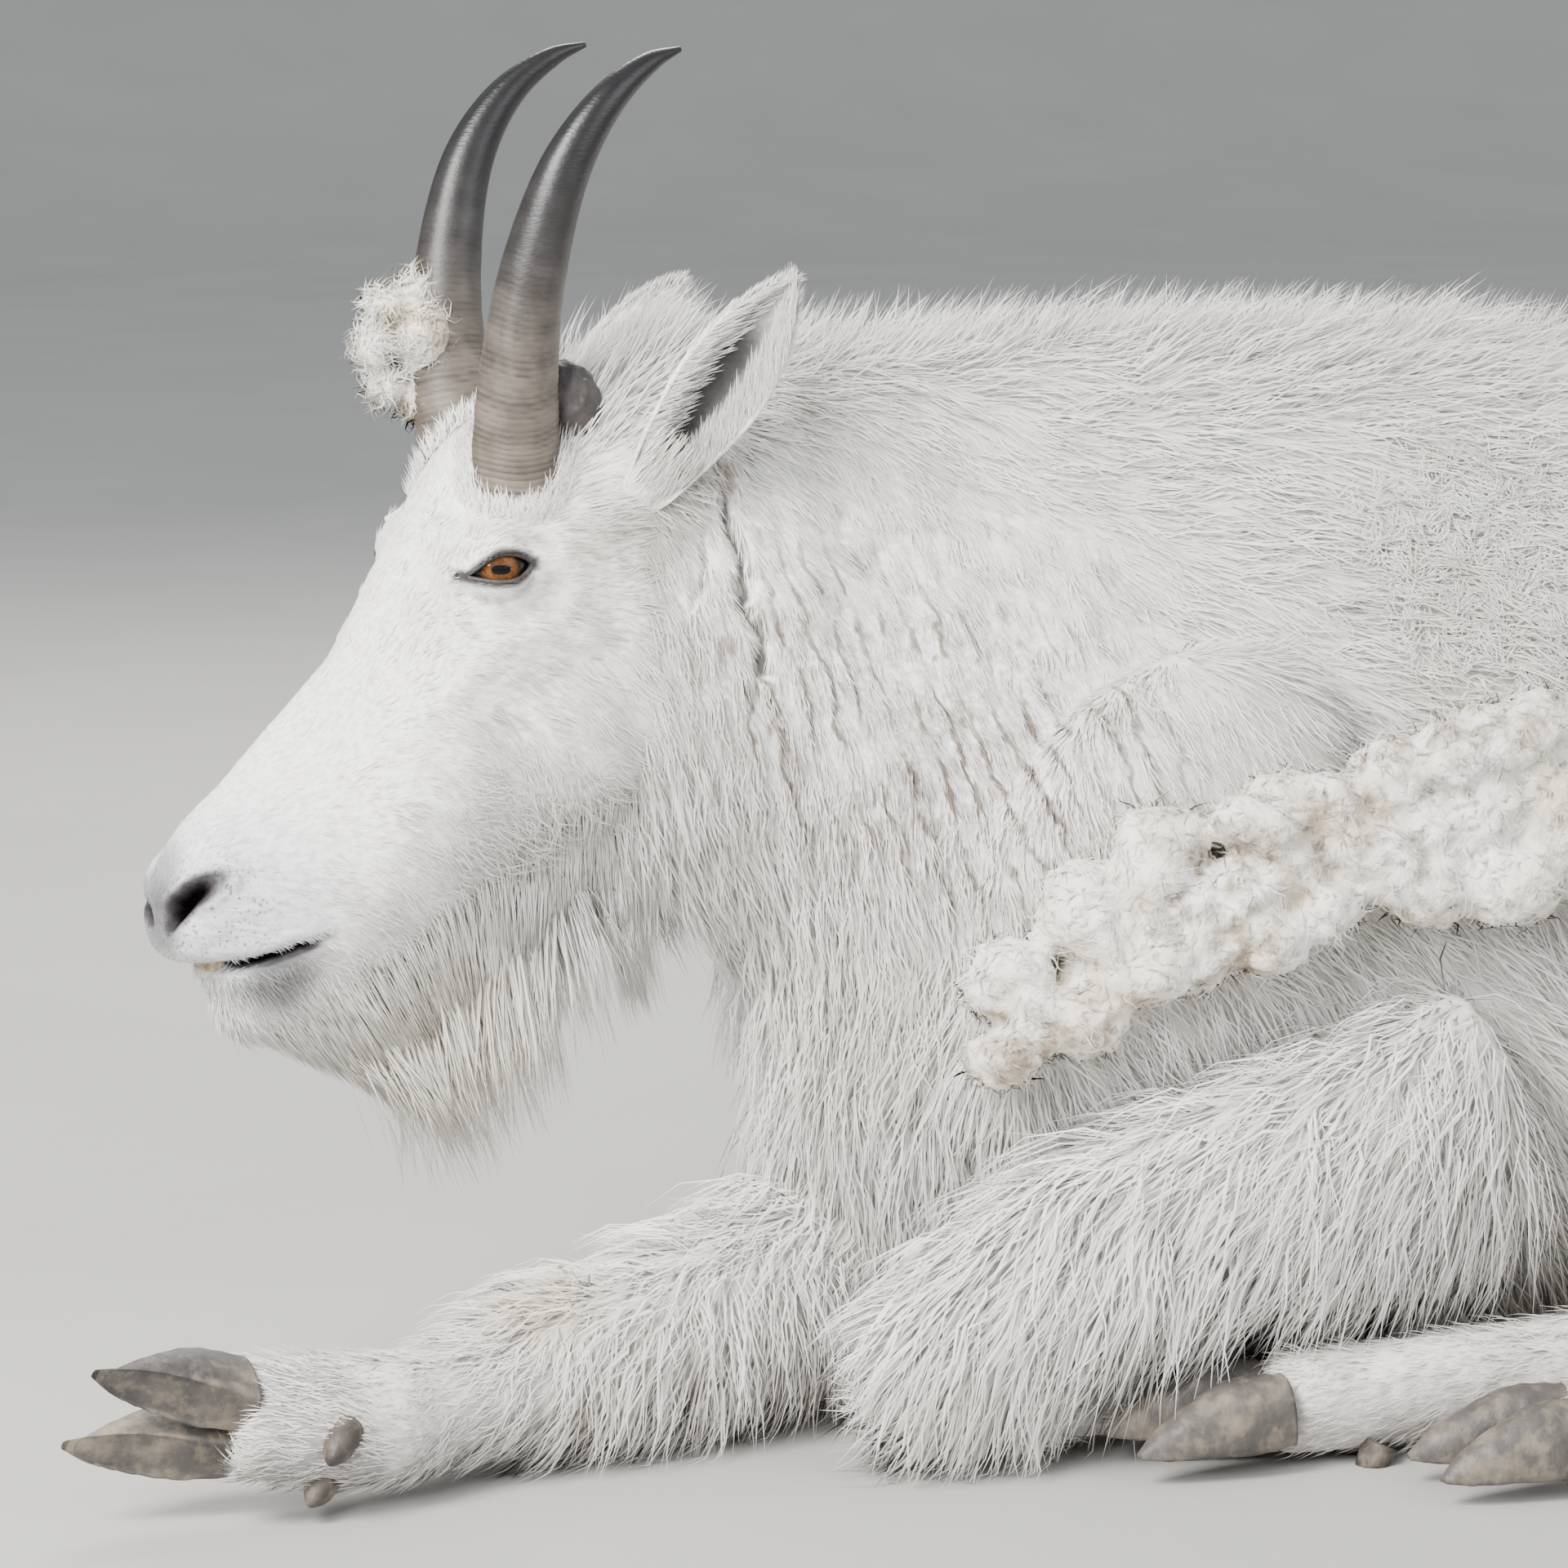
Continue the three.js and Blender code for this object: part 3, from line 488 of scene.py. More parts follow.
REGIONS = ["head", "trunk", *LIMBS]
HEAD, TRUNK, LAST_FORELEG = (REGIONS.index(name) for name in ("head", "trunk", "fore_right"))
LIMB_STEPS = 60
BATCH = 20000


def head_measure(points):
    """Place along the head, distance from its middle in radii, angle round it, its direction."""
    f, l, u = head_place(points)
    table = np.array(HEAD_SECTIONS[::-1], float)
    top, bottom, middle = (np.interp(f, table[:, 0], table[:, k]) for k in (1, 2, 4))
    a = l / middle
    b = (u - (top + bottom) / 2) / ((top - bottom) / 2)
    span = table[-1, 0] - table[0, 0]
    far = np.hypot(a, b) + np.maximum(-75 - f, 0) / 40
    along = unit(np.array([-0.9, 0, 0.1]))
    return (table[-1, 0] - f) / span, far, np.arctan2(b, a), np.broadcast_to(along, points.shape)


def trunk_measure(points):
    """The same for neck and trunk."""
    x, y, z = points.T
    table = np.array(TRUNK_SECTIONS, float)
    shift, top, bottom, middle = (np.interp(x, table[:, 0], table[:, k]) for k in (1, 2, 3, 5))
    a = (y - shift) / middle
    b = (z - (top + bottom) / 2) / ((top - bottom) / 2)
    first, last = table[0, 0], table[-1, 0]
    over = np.maximum(np.maximum(first + 10 - x, x - last), 0) / 25
    along = np.broadcast_to([1.0, 0, 0], points.shape)
    return (x - first) / (last - first), np.hypot(a, b) + over, np.arctan2(b, a), along


def limb_measure(points, stations, up):
    """The same for a leg, its foot or the tail."""
    centres, along, side, top, half = limb_frames(stations, up, LIMB_STEPS)
    best = np.zeros(len(points), int)
    for start in range(0, len(points), BATCH):
        d = points[start : start + BATCH, None] - centres
        best[start : start + BATCH] = (d**2).sum(-1).argmin(1)
    d = points - centres[best]
    a = (d * side[best]).sum(-1) / half[best, 0]
    b = (d * top[best]).sum(-1) / half[best, 1]
    over = np.maximum(np.abs((d * along[best]).sum(-1)) - 12, 0) / 30
    return best / (LIMB_STEPS - 1), np.hypot(a, b) + over, np.arctan2(b, a), along[best]


def region_measures(points):
    """The four measures of every point, in rows for the regions."""
    measures = [head_measure(points), trunk_measure(points)]
    measures += [limb_measure(points, *LIMBS[name]) for name in LIMBS]
    return [np.array(values) for values in zip(*measures)]


def sorted_regions(points):
    """Region number, place along it, angle round it and its direction at each point."""
    t, far, angle, along = region_measures(points)
    region = far.argmin(0)
    pick = np.arange(len(points))
    return region, np.clip(t[region, pick], 0, 1), angle[region, pick], along[region, pick]


# Rectangles of the unwrap, one for each region: left, bottom, width, height
UNWRAP = {
    "head": (0.01, 0.61, 0.38, 0.38),
    "trunk": (0.01, 0.01, 0.62, 0.58),
    "fore_left": (0.41, 0.61, 0.18, 0.38),
    "fore_left_foot": (0.61, 0.81, 0.18, 0.18),
    "fore_right": (0.65, 0.41, 0.34, 0.18),
    "hind_left": (0.65, 0.21, 0.34, 0.18),
    "hind_right": (0.65, 0.01, 0.34, 0.18),
    "tail": (0.61, 0.61, 0.18, 0.18),
    "ear_left": (0.81, 0.61, 0.08, 0.38),
    "ear_right": (0.91, 0.61, 0.08, 0.38),
}


def unwrapped(region, t, angle):
    """The place of each point on the unwrap."""
    boxes = np.array([UNWRAP[name] for name in REGIONS])[region]
    turn = np.clip((angle + math.pi) / (2 * math.pi), -0.02, 1.02)
    u = boxes[:, 0] + boxes[:, 2] * (0.03 + 0.94 * t)
    v = boxes[:, 1] + boxes[:, 3] * (0.03 + 0.94 * turn)
    return np.column_stack([u, v])


def root_patch(root):
    """The place of each root on the unwrap."""
    return unwrapped(*sorted_regions(root)[:3])


def int_array(data, name):
    values = np.zeros(len(data), int)
    data.foreach_get(name, values)
    return values


def unwrap_skin(mesh):
    """Sets the OFBake map of the skin by the region of each face, with no face split at the seam."""
    t, far, angle, _ = region_measures(vertex_array(mesh))
    vertex = int_array(mesh.loops, "vertex_index")
    starts = int_array(mesh.polygons, "loop_start")
    face = np.repeat(np.arange(len(starts)), int_array(mesh.polygons, "loop_total"))
    face_region = far.argmin(0)[vertex[starts]]
    region = face_region[face]
    first = angle[face_region, vertex[starts]][face]
    turned = first + (angle[region, vertex] - first + math.pi) % (2 * math.pi) - math.pi
    uv = unwrapped(region, np.clip(t[region, vertex], 0, 1), turned)
    layer = mesh.uv_layers.new(name="OFBake")
    layer.uv.foreach_set("vector", uv.astype(np.float32).ravel())


# The skin


def skin_parts():
    """Every form of flesh, inside the solids by the depth of the coat."""
    parts = [trunk_loft(BODY_COAT), head_loft(HEAD_COAT)]
    parts += [blob(*mass, BODY_COAT) for mass in MUSCLES]
    for side in (-1, 1):
        for forward, out, up, radii, pitch in HEAD_MASSES:
            parts.append(head_blob(forward, side * out, up, radii, pitch, HEAD_COAT))
    parts += [limb(stations, up, LIMB_COATS[name]) for name, (stations, up) in LIMBS.items()]
    return parts


def path_distance(points, path):
    """Distance of each point from a path of straight pieces, with the place along it."""
    best = np.full(len(points), 1e9)
    place = np.zeros(len(points))
    for k in range(len(path) - 1):
        a, b = path[k], path[k + 1]
        t = np.clip(((points - a) @ (b - a)) / ((b - a) @ (b - a)), 0, 1)
        d = np.linalg.norm(points - a - t[:, None] * (b - a), axis=1)
        closer = d < best
        best[closer] = d[closer]
        place[closer] = ((k + t) / (len(path) - 1))[closer]
    return best, place


def nostril_distance(local, side):
    return path_distance(local, NOSTRIL * [1, side, 1])


def lid_edge(forward, upper):
    """Height of the upper or lower lid's edge at a place along the eye."""
    u = np.clip((forward - 1) / LID_HALF, -1, 1)
    arch = (1 - u**2) * (6.9 if upper else -5.6)
    corner = np.where(u > 0, -3.5 * u**2, 1.5 * u**2)
    return arch + corner + 0.5


def refine(obj, near):
    """Splits the edges whose two vertices are near."""
    bm = bmesh.new()
    bm.from_mesh(obj.data)
    bm.verts.ensure_lookup_table()
    edges = [e for e in bm.edges if near[e.verts[0].index] and near[e.verts[1].index]]
    bmesh.ops.subdivide_edges(bm, edges=edges, cuts=1, use_grid_fill=True, smooth=0.3)
    bm.to_mesh(obj.data)
    bm.free()


def shape_eye(f, l, u, side):
    """New sideways places round one eye, and how far its socket, brow and fold move the skin."""
    across = np.hypot((f - 1) / 1.12, u)
    on_side = (l * side > 15) & (f > -60)
    dome = EYE_SIDE + np.sqrt(np.maximum(17.4**2 - (np.hypot(f * 0.96, u)) ** 2, 0))
    weight = smooth(27, 14, across) * on_side
    l = np.where(on_side, l + weight * (np.maximum(side * l, dome) - side * l) * side, l)
    inside = on_side & (np.abs(f - 1) < LID_HALF) & (u < lid_edge(f, True)) & (u > lid_edge(f, False))
    l = np.where(inside, side * (EYE_SIDE + 6), l)
    socket = -2.2 * hill(across, 24, 6.0)
    brow = 2.5 * hill(f, -2, 20) * hill(u, 17, 5.0)
    fold = -1.6 * hill(u, 12 - 0.012 * f**2, 1.6) * smooth(24, 12, np.abs(f))
    return l, (socket + brow + fold) * on_side


def shape_nose(f, u, local, side):
    """How far a nostril with its raised rim and the fold below the eye move the skin."""
    d, place = nostril_distance(local, side)
    hole = (15.0 - 7 * place) * np.exp(-((d / (6.2 - 2.2 * place)) ** 4))
    rim = 2.2 * hill(d, 9.5, 3.0) * smooth(100, 118, f) * smooth(-152, -146, u)
    tears = path_distance(local, TEAR_FOLD * [1, side, 1])[0]
    return rim - hole - 2.0 * hill(tears, 0, 4.5)


def shape_mouth(f, u):
    """How far the open slit, the lips and the chin move the skin."""
    slit, gape = np.interp(f, *MOUTH), np.interp(f, *GAPE)
    inside = hill(np.maximum(np.abs(u - slit + gape * 0.8) - gape * 0.6, 0), 0, 1.6) * smooth(70, 80, f)
    upper = 1.3 * hill(u, slit + 6, 4.0) * smooth(76, 100, f)
    lower = 1.0 * hill(u, slit - 9, 4.5) * smooth(80, 100, f)
    chin = 1.2 * hill(u, -206, 9.0) * hill(f, 112, 10)
    return upper + lower + chin - inside * np.interp(f, [78, 110, 125, 150], [2.2, 3.5, 9, 9])


def shape_head(mesh):
    """Eye sockets, lids, nostrils, lips and folds, pressed into the skin."""
    points = vertex_array(mesh)
    normals = vertex_array(mesh, "normal")
    f, l, u = head_place(points)
    local = np.column_stack([f, l, u])
    move = shape_mouth(f, u)
    move += 2.0 * hill(u, -60 - 0.9 * (f - 30), 9) * hill(f, 30, 30)
    move += 0.5 * waves(local * [1, 1, 1.6], 26, 5) * smooth(-60, -20, f) * smooth(90, 40, f)
    for side in (-1, 1):
        l, eye = shape_eye(f, l, u, side)
        move += eye + shape_nose(f, u, local, side)
    head = smooth(-90, -70, f)[:, None]
    set_vertices(mesh, points + head * (head_point(f, l, u) - points) + normals * (move[:, None] * head))


FAR = 99.0

# Creases of the loose skin on the left of the neck, pressed in and painted near black as shade: half width,
# then places along X and Z; the thin ones have a negative half width, so that only their slopes show
CREASES = [
    (1.5, [[-209, 446], [-213, 428], [-207, 404], [-212, 389], [-203, 374], [-204, 358]]),
    (-1.2, [[-221, 440], [-226, 418], [-228, 400], [-235, 390]]),
    (-1.2, [[-201, 345], [-194, 328], [-190, 305]]),
]


def crease_distance(points):
    """Distance outside the creases of the neck, which are painted dark as shade."""
    flat = points[:, [0, 2]] + np.column_stack([1.2 * waves(points, 9, 12 + k) for k in range(2)])
    edge = [path_distance(flat, np.array(path, float))[0] - half for half, path in CREASES]
    return np.where(points[:, 1] < -20, np.min(edge, 0), FAR)


def neck_share(points):
    """How far a place lies on the sides of the neck, where the loose skin is ridged."""
    x, _, z = points.T
    return smooth(0, -60, x) * smooth(200, 260, z) * smooth(450, 400, z) * smooth(-262, -235, x)


def neck_phase(points):
    """Phase of the upright ridges of wool on the neck."""
    bent = points[:, 0] + 0.25 * points[:, 2] + 4.5 * waves(points, 75, 9) + 1.3 * waves(points, 24, 10)
    return bent * 2 * math.pi / 12.5


def ridge_direction(points):
    """Direction down the ridges of wool on the neck."""
    slope_x = neck_phase(points + [1, 0, 0]) - neck_phase(points)
    slope_z = neck_phase(points + [0, 0, 1]) - neck_phase(points)
    return unit(np.column_stack([slope_z, np.zeros(len(points)), -slope_x]))


def neck_ridges(points):
    """Valleys between the ridges: 1 at the bottom, 0 on top."""
    valley = (0.5 - 0.5 * np.cos(neck_phase(points))) ** 4.5
    broken = smooth(-0.25, 0.35, waves(points * [1.6, 1, 0.7], 30, 11))
    return valley * neck_share(points) * broken


def paint_skin(mesh):
    """Masks: bare dark skin of nose, lips and lids, painted shade in deep hollows, and how far the coat hides
    the skin for the painted shade under it.
    """
    points = vertex_array(mesh)
    f, l, u = head_place(points)
    local = np.column_stack([f, l, u])
    slit, gape = np.interp(f, *MOUTH), np.interp(f, *GAPE)
    lips = smooth(4.5, 1.5, np.abs(u - slit + 2)) * smooth(74, 84, f)
    chin = smooth(17, 9, np.abs(u - slit + 14)) * smooth(66, 84, f) * smooth(128, 116, f)
    nose = smooth(143, 150, f + 0.25 * np.abs(u + 158))
    bare = [lips, 0.5 * chin, 0.6 * nose]
    inside = smooth(2.4, 0.8, np.abs(u - slit + gape * 0.8) - gape * 0.5) * smooth(72, 80, f)
    # Painted shade: the mouth's slit and the neck's creases are painted near black as deep hollows
    deep = [inside, 0.85 * smooth(1.4, -0.6, crease_distance(points))]
    for side in (-1, 1):
        d, place = nostril_distance(local, side)
        past = np.maximum(u - lid_edge(f, True), lid_edge(f, False) - u)
        past = np.maximum(past, (np.abs(f - 1) - LID_HALF) * 0.8)
        past = np.where(l * side > 20, past, FAR)
        duct = path_distance(local, TEAR_DUCT * [1, side, 1])[0]
        bare += [smooth(10.5, 7.0, d), smooth(4.6, 1.6, past), smooth(5.8, 2.8, duct)]
        # Painted shade inside each nostril
        deep.append(smooth(7.6, 5.6, d + 2.0 * place))
    length = coat_field(points, vertex_array(mesh, "normal"))[4]
    masks = {"bare": np.max(bare, 0), "deep": np.max(deep, 0), "cover": smooth(12, 24, length)}
    for name, values in masks.items():
        set_mask(mesh, name, values)


def fine_places(points):
    """Where the skin has its finest mesh: eyes, nostrils, mouth and creases."""
    f, l, u = head_place(points)
    local = np.column_stack([f, l, u])
    eye = (np.hypot(f, u) < 28) & (np.abs(l) > 25)
    nostril = np.minimum(*[nostril_distance(local, side)[0] for side in (-1, 1)]) < 15
    lips = np.abs(u - np.interp(f, *MOUTH) + 4) < 15
    return eye | ((f > 70) & (nostril | lips)) | (crease_distance(points) < 7)


def build_skin(material):
    """The whole skin as one closed mesh."""
    obj = remeshed("skin", skin_parts(), VOXEL, 6, material)
    points = vertex_array(obj.data)
    refine(obj, (head_place(points)[0] > -80) | (crease_distance(points) < 16))
    refine(obj, fine_places(vertex_array(obj.data)))
    paint_skin(obj.data)
    shape_head(obj.data)
    points = vertex_array(obj.data)
    groove = 5.0 * smooth(5.0, -1.5, crease_distance(points)) + 2.0 * neck_ridges(points)
    points = points - vertex_array(obj.data, "normal") * groove[:, None]
    points[:, 2] = np.maximum(points[:, 2], 1.0)
    set_vertices(obj.data, points)
    unwrap_skin(obj.data)
    return riding(obj, "coat")


# The coat: for every root a direction, a length, a width and how far it stands up

# Trunk guides: x, z, lie along x, lie along z, length, lift
TRUNK_GUIDES = [
    [-250, 500, 0.9, 0.5, 30, 0.45],
    [-240, 440, 0.5, -0.8, 13, 0.14],
    [-235, 350, 0.3, -1.0, 14, 0.12],
    [-240, 270, 0.05, -1.0, 36, 0.3],
    [-170, 515, 1.0, 0.25, 28, 0.4],
    [-170, 440, 0.25, -0.95, 12, 0.12],
    [-165, 340, 0.2, -1.0, 13, 0.12],
    [-120, 430, 0.4, -0.9, 14, 0.12],
    [-115, 330, 0.2, -1.0, 14, 0.1],
    [-165, 240, 0.1, -1.0, 26, 0.18],
    [-165, 150, -0.25, -1.0, 40, 0.35],
    [-120, 70, -0.2, -1.0, 40, 0.35],
    [-80, 515, 1.0, 0.2, 28, 0.36],
    [-70, 430, 0.8, -0.6, 22, 0.13],
    [-60, 320, 0.4, -0.95, 19, 0.13],
    [-50, 200, 0.6, -0.8, 28, 0.16],
    [-30, 60, 0.6, -0.8, 38, 0.22],
    [60, 515, 1.0, 0.2, 28, 0.34],
    [70, 430, 0.9, -0.45, 25, 0.14],
    [90, 300, 0.8, -0.6, 27, 0.15],
    [90, 120, 0.6, -0.8, 40, 0.22],
    [200, 510, 1.0, 0.1, 32, 0.3],
    [210, 400, 0.85, -0.5, 32, 0.18],
    [230, 250, 0.6, -0.8, 40, 0.2],
    [250, 90, 0.5, -0.9, 50, 0.24],
    [380, 490, 1.0, -0.05, 36, 0.26],
    [400, 350, 0.7, -0.7, 40, 0.2],
    [400, 120, 0.5, -0.9, 54, 0.24],
    [560, 460, 1.0, -0.15, 38, 0.25],
    [580, 300, 0.5, -0.85, 44, 0.22],
    [580, 100, 0.4, -0.9, 52, 0.24],
    [710, 380, 0.7, -0.7, 40, 0.24],
    [730, 250, 0.1, -1.0, 42, 0.24],
    [720, 100, 0.1, -1.0, 46, 0.24],
]

# Head guides: forward, up, lie forward, lie up, length, lift
HEAD_GUIDES = [
    [150, -150, -0.3, 0.5, 2.5, 0.1],
    [140, -165, -0.6, -0.4, 3.5, 0.1],
    [120, -115, -0.7, 0.5, 3.5, 0.08],
    [112, -150, -0.9, -0.3, 4.5, 0.08],
    [112, -195, -0.6, -0.7, 8.0, 0.2],
    [100, -212, -0.5, -0.9, 13, 0.35],
    [80, -70, -0.6, 0.7, 5.0, 0.07],
    [75, -120, -0.9, -0.2, 6.5, 0.07],
    [75, -185, -0.8, -0.6, 10, 0.14],
    [50, -30, -0.5, 0.8, 7.0, 0.07],
    [45, -80, -0.9, 0.0, 8, 0.07],
    [40, -150, -0.8, -0.6, 12, 0.12],
    [25, 10, -0.6, 0.7, 7.0, 0.06],
    [5, 26, -0.95, 0.25, 7.0, 0.05],
    [20, -25, -0.9, -0.2, 7.0, 0.07],
    [10, -80, -0.8, -0.6, 10, 0.1],
    [5, -140, -0.7, -0.8, 16, 0.16],
    [5, 45, -0.75, 0.65, 8, 0.08],
    [-20, -10, -1.0, -0.1, 9, 0.08],
    [-25, 50, -0.8, 0.5, 10, 0.14],
    [-30, -70, -0.8, -0.6, 13, 0.12],
    [-30, -130, -0.7, -0.8, 20, 0.18],
    [-60, 20, -1.0, 0.2, 12, 0.14],
    [-60, 85, -0.8, 0.6, 26, 0.6],
    [-70, -60, -0.8, -0.6, 16, 0.14],
]


# Hair on legs and tail: places along it, lengths there, how far long hair hangs
LIMB_HAIR = {
    "fore_left": ([0, 0.3, 0.55, 0.75, 0.9, 1], [48, 50, 50, 44, 26, 14], 0.5),
    "fore_left_foot": ([0, 0.4, 1], [16, 14, 10], 0.1),
    "fore_right": ([0, 0.2, 0.42, 0.52, 0.62, 0.8, 1], [46, 46, 40, 28, 20, 16, 12], 0.5),
    "hind_left": ([0, 0.25, 0.42, 0.55, 0.65, 1], [62, 62, 46, 30, 21, 13], 0.55),
    "hind_right": ([0, 0.3, 0.45, 0.55, 1], [56, 50, 32, 19, 12], 0.4),
    "tail": ([0, 1], [40, 46], 0.6),
}

# Pieces of the coat: the most triangles of undercoat and of guard hair
COAT_LIMITS = {
    "coat_face": (94000, 40000),
    "coat_head": (90000, 64000),
    "coat_neck_left": (90000, 90000),
    "coat_neck_right": (26000, 30000),
    "coat_front_left": (76000, 80000),
    "coat_front_right": (30000, 42000),
    "coat_rear_left": (42000, 58000),
    "coat_rear_right": (26000, 38000),
    "coat_forelegs": (50000, 90000),
    "coat_hindlegs": (34000, 70000),
    "coat_shanks": (60000, 28000),
}

# Layers of the coat: share of the full length, widths for the lengths below, share of the lift
HAIR_LENGTHS = [3, 8, 20, 40, 62]
LAYERS = {
    "under": (0.85, [0.75, 0.85, 1.15, 1.6, 1.9], 0.9),
    "guard": (1.1, [0.6, 0.75, 1.0, 1.4, 1.7], 1.15),
}

# How far each span of a tuft turns away from the skin, and one that has a single span
RISE = [2.2, 1.0, 0.35]
SINGLE_RISE = [1.25]
THICKNESS = 0.45

# Size of a tuft's patch on the unwrap
PATCH = 0.003


def guided(u, v, guides, reach):
    """Blends the last four columns of the guides by nearness to each place."""
    guides = np.asarray(guides, float)
    d2 = (u[:, None] - guides[:, 0]) ** 2 + (v[:, None] - guides[:, 1]) ** 2
    weight = np.exp(-d2 / reach**2) + 1e-6 / (d2 + 1)
    weight /= weight.sum(1, keepdims=True)
    return weight @ guides[:, 2:]


def trunk_hair(points):
    """Direction, length and lift on the trunk, higher along the ridge of neck and withers."""
    x, y, z = points.T
    body = guided(x, z, TRUNK_GUIDES, 55)
    ridge = hill(y, np.interp(x, *BACK_LINE), 17) * smooth(430, 490, z) * smooth(330, 220, x)
    lie = np.column_stack([body[:, 0], np.zeros(len(x)), body[:, 1]])
    return lie, body[:, 2], body[:, 3] + 0.35 * ridge


def head_hair(points, normals):
    """Direction, length and lift on the head, swept back where the lie would run into the skin."""
    f, _, u = head_place(points)
    face = guided(f, u, HEAD_GUIDES, 22)
    lie = face[:, :1] * HEAD_FORWARD + face[:, 1:2] * UP
    blocked = smooth(0.6, 0.92, np.abs((unit(lie) * normals).sum(1)))
    return lie - HEAD_FORWARD * (1.2 * blocked)[:, None], face[:, 2], face[:, 3]


def limb_hair(name, t, along):
    """Direction, length and lift on a leg or the tail; long hair hangs down."""
    at, values, hang = LIMB_HAIR[name]
    length = np.interp(t, at, values)
    fall = (hang * smooth(12, 40, length))[:, None]
    return unit(along * (1 - fall) + DOWN * fall), length, 0.16 + 0.14 * smooth(15, 45, length)


def coat_field(points, normals):
    """Region, place and angle in it, and direction, length and lift of the hair at each point."""
    region, t, angle, along = sorted_regions(points)
    lie, length, lift = along.copy(), np.zeros(len(points)), np.zeros(len(points))
    for number, name in enumerate(REGIONS):
        here = region == number
        if number == HEAD:
            lie[here], length[here], lift[here] = head_hair(points[here], normals[here])
        elif number == TRUNK:
            lie[here], length[here], lift[here] = trunk_hair(points[here])
        elif here.any():
            lie[here], length[here], lift[here] = limb_hair(name, t[here], along[here])
    return region, t, angle, lie, length, lift


def tuft_arrays(root, normal, lie, length, width, lift, spans, rng, curl=0.12, pull=0.0):
    """Vertices (n, rows, 3) of tapered three-sided tufts that rise, bend into the lie and hang."""
    lie = unit(lie - (lie * normal).sum(-1, keepdims=True) * normal)
    across = unit(np.cross(normal, lie))
    rise = RISE if spans > 1 else SINGLE_RISE
    phase = rng.uniform(0, 2 * math.pi, len(root))
    sway = rng.normal(0, 1, len(root)) * curl
    centre = root - normal * (0.25 * width + 0.6)[:, None]
    rings = []
    for k in range(spans):
        t = k / spans
        swell = 0.75 + 0.5 * math.sin(math.pi * min(1, t * 1.3)) if k else 0.8
        half = width * 0.5 * (1 - t) ** 0.8 * swell
        a = across * half[:, None]
        b = normal * (half * THICKNESS * 2)[:, None]
        rings += [centre + a - b * 0.4, centre - a - b * 0.4, centre + b * 0.7]
        bend = np.sin(phase + 2.6 * t * math.pi) * curl * 1.2 + sway * t
        heading = lie + normal * (lift * rise[k])[:, None] + across * bend[:, None] + pull * (0.35 + t)
        centre = centre + unit(heading) * (length / spans)[:, None]
    return np.stack([*rings, centre], 1)


def tuft_faces(spans):
    """Faces of one tuft as triangles."""
    faces = [(0, 1, 2)]
    for k in range(spans - 1):
        for i in range(3):
            a, b = 3 * k + i, 3 * k + (i + 1) % 3
            faces += [(a, a + 3, b + 3), (a, b + 3, b)]
    tip, base = 3 * spans, 3 * (spans - 1)
    faces += [(base + i, tip, base + (i + 1) % 3) for i in range(3)]
    return np.array(faces)


def tuft_object(name, verts, uv, shade, material, normal=None, slot="coat"):
    """One mesh of many tufts, each a small patch on the OFBake map at its root."""
    n, rows, _ = verts.shape
    spans = (rows - 1) // 3
    faces = (tuft_faces(spans)[None] + (np.arange(n) * rows)[:, None, None]).reshape(-1, 3)
    mesh = bpy.data.meshes.new(name)
    mesh.vertices.add(n * rows)
    mesh.vertices.foreach_set("co", (verts.reshape(-1, 3) * MM).astype(np.float32).ravel())
    mesh.loops.add(faces.size)
    mesh.loops.foreach_set("vertex_index", faces.ravel().astype(np.int32))
    mesh.polygons.add(len(faces))
    mesh.polygons.foreach_set("loop_start", (np.arange(len(faces)) * 3).astype(np.int32))
    mesh.update(calc_edges=True)
    layer = mesh.uv_layers.new(name="OFBake")
    row = np.arange(rows)
    offset = np.column_stack([np.cos(row * 2.1), row / rows * 2 - 1]) * PATCH / 2
    patch = (uv[:, None] + offset[None]).reshape(-1, 2)[faces.ravel()]
    layer.uv.foreach_set("vector", patch.astype(np.float32).ravel())
    mesh.shade_smooth()
    across = np.array([1.0, -1.0, 0.0] * spans + [0.0])
    set_mask(mesh, "along", np.tile(row // 3 / spans, n))
    set_mask(mesh, "across", np.tile(across, n))
    set_mask(mesh, "shade", np.repeat(shade, rows))
    if normal is not None:
        side = unit(verts[:, 0] - verts[:, 1])
        soft = unit(normal[:, None] + side[:, None] * (across / 2)[None, :, None])
        mesh.normals_split_custom_set_from_vertices(soft.reshape(-1, 3).astype(np.float32))
    mesh.materials.append(material)
    return riding(linked(bpy.data.objects.new(name, mesh)), slot)


def surface_samples(mesh, density, rng, bare=None):
    """Even random roots on a mesh: density is tufts per square centimetre at each face."""
    mesh.calc_loop_triangles()
    tri = np.zeros(len(mesh.loop_triangles) * 3, int)
    mesh.loop_triangles.foreach_get("vertices", tri)
    tri = tri.reshape(-1, 3)
    points = vertex_array(mesh)
    normals = vertex_array(mesh, "normal")
    a, b, c = (points[tri[:, k]] for k in range(3))
    area = np.linalg.norm(np.cross(b - a, c - a), axis=1) / 2
    wanted = area / 100 * density((a + b + c) / 3, unit(normals[tri].sum(1)))
    if bare is not None:
        wanted = wanted * (1 - smooth(0.62, 0.8, bare[tri].max(1)))
    total = np.cumsum(wanted)
    count = int(total[-1])
    pick = np.searchsorted(total, (np.arange(count) + rng.random(count)) * total[-1] / count)
    pick = np.clip(pick, 0, len(tri) - 1)
    s, t = rng.random(count), rng.random(count)
    over = s + t > 1
    s[over], t[over] = 1 - s[over], 1 - t[over]
    w = np.column_stack([1 - s - t, s, t])[..., None]
    root = (np.stack([a[pick], b[pick], c[pick]], 1) * w).sum(1)
    return root, unit((normals[tri[pick]] * w).sum(1))


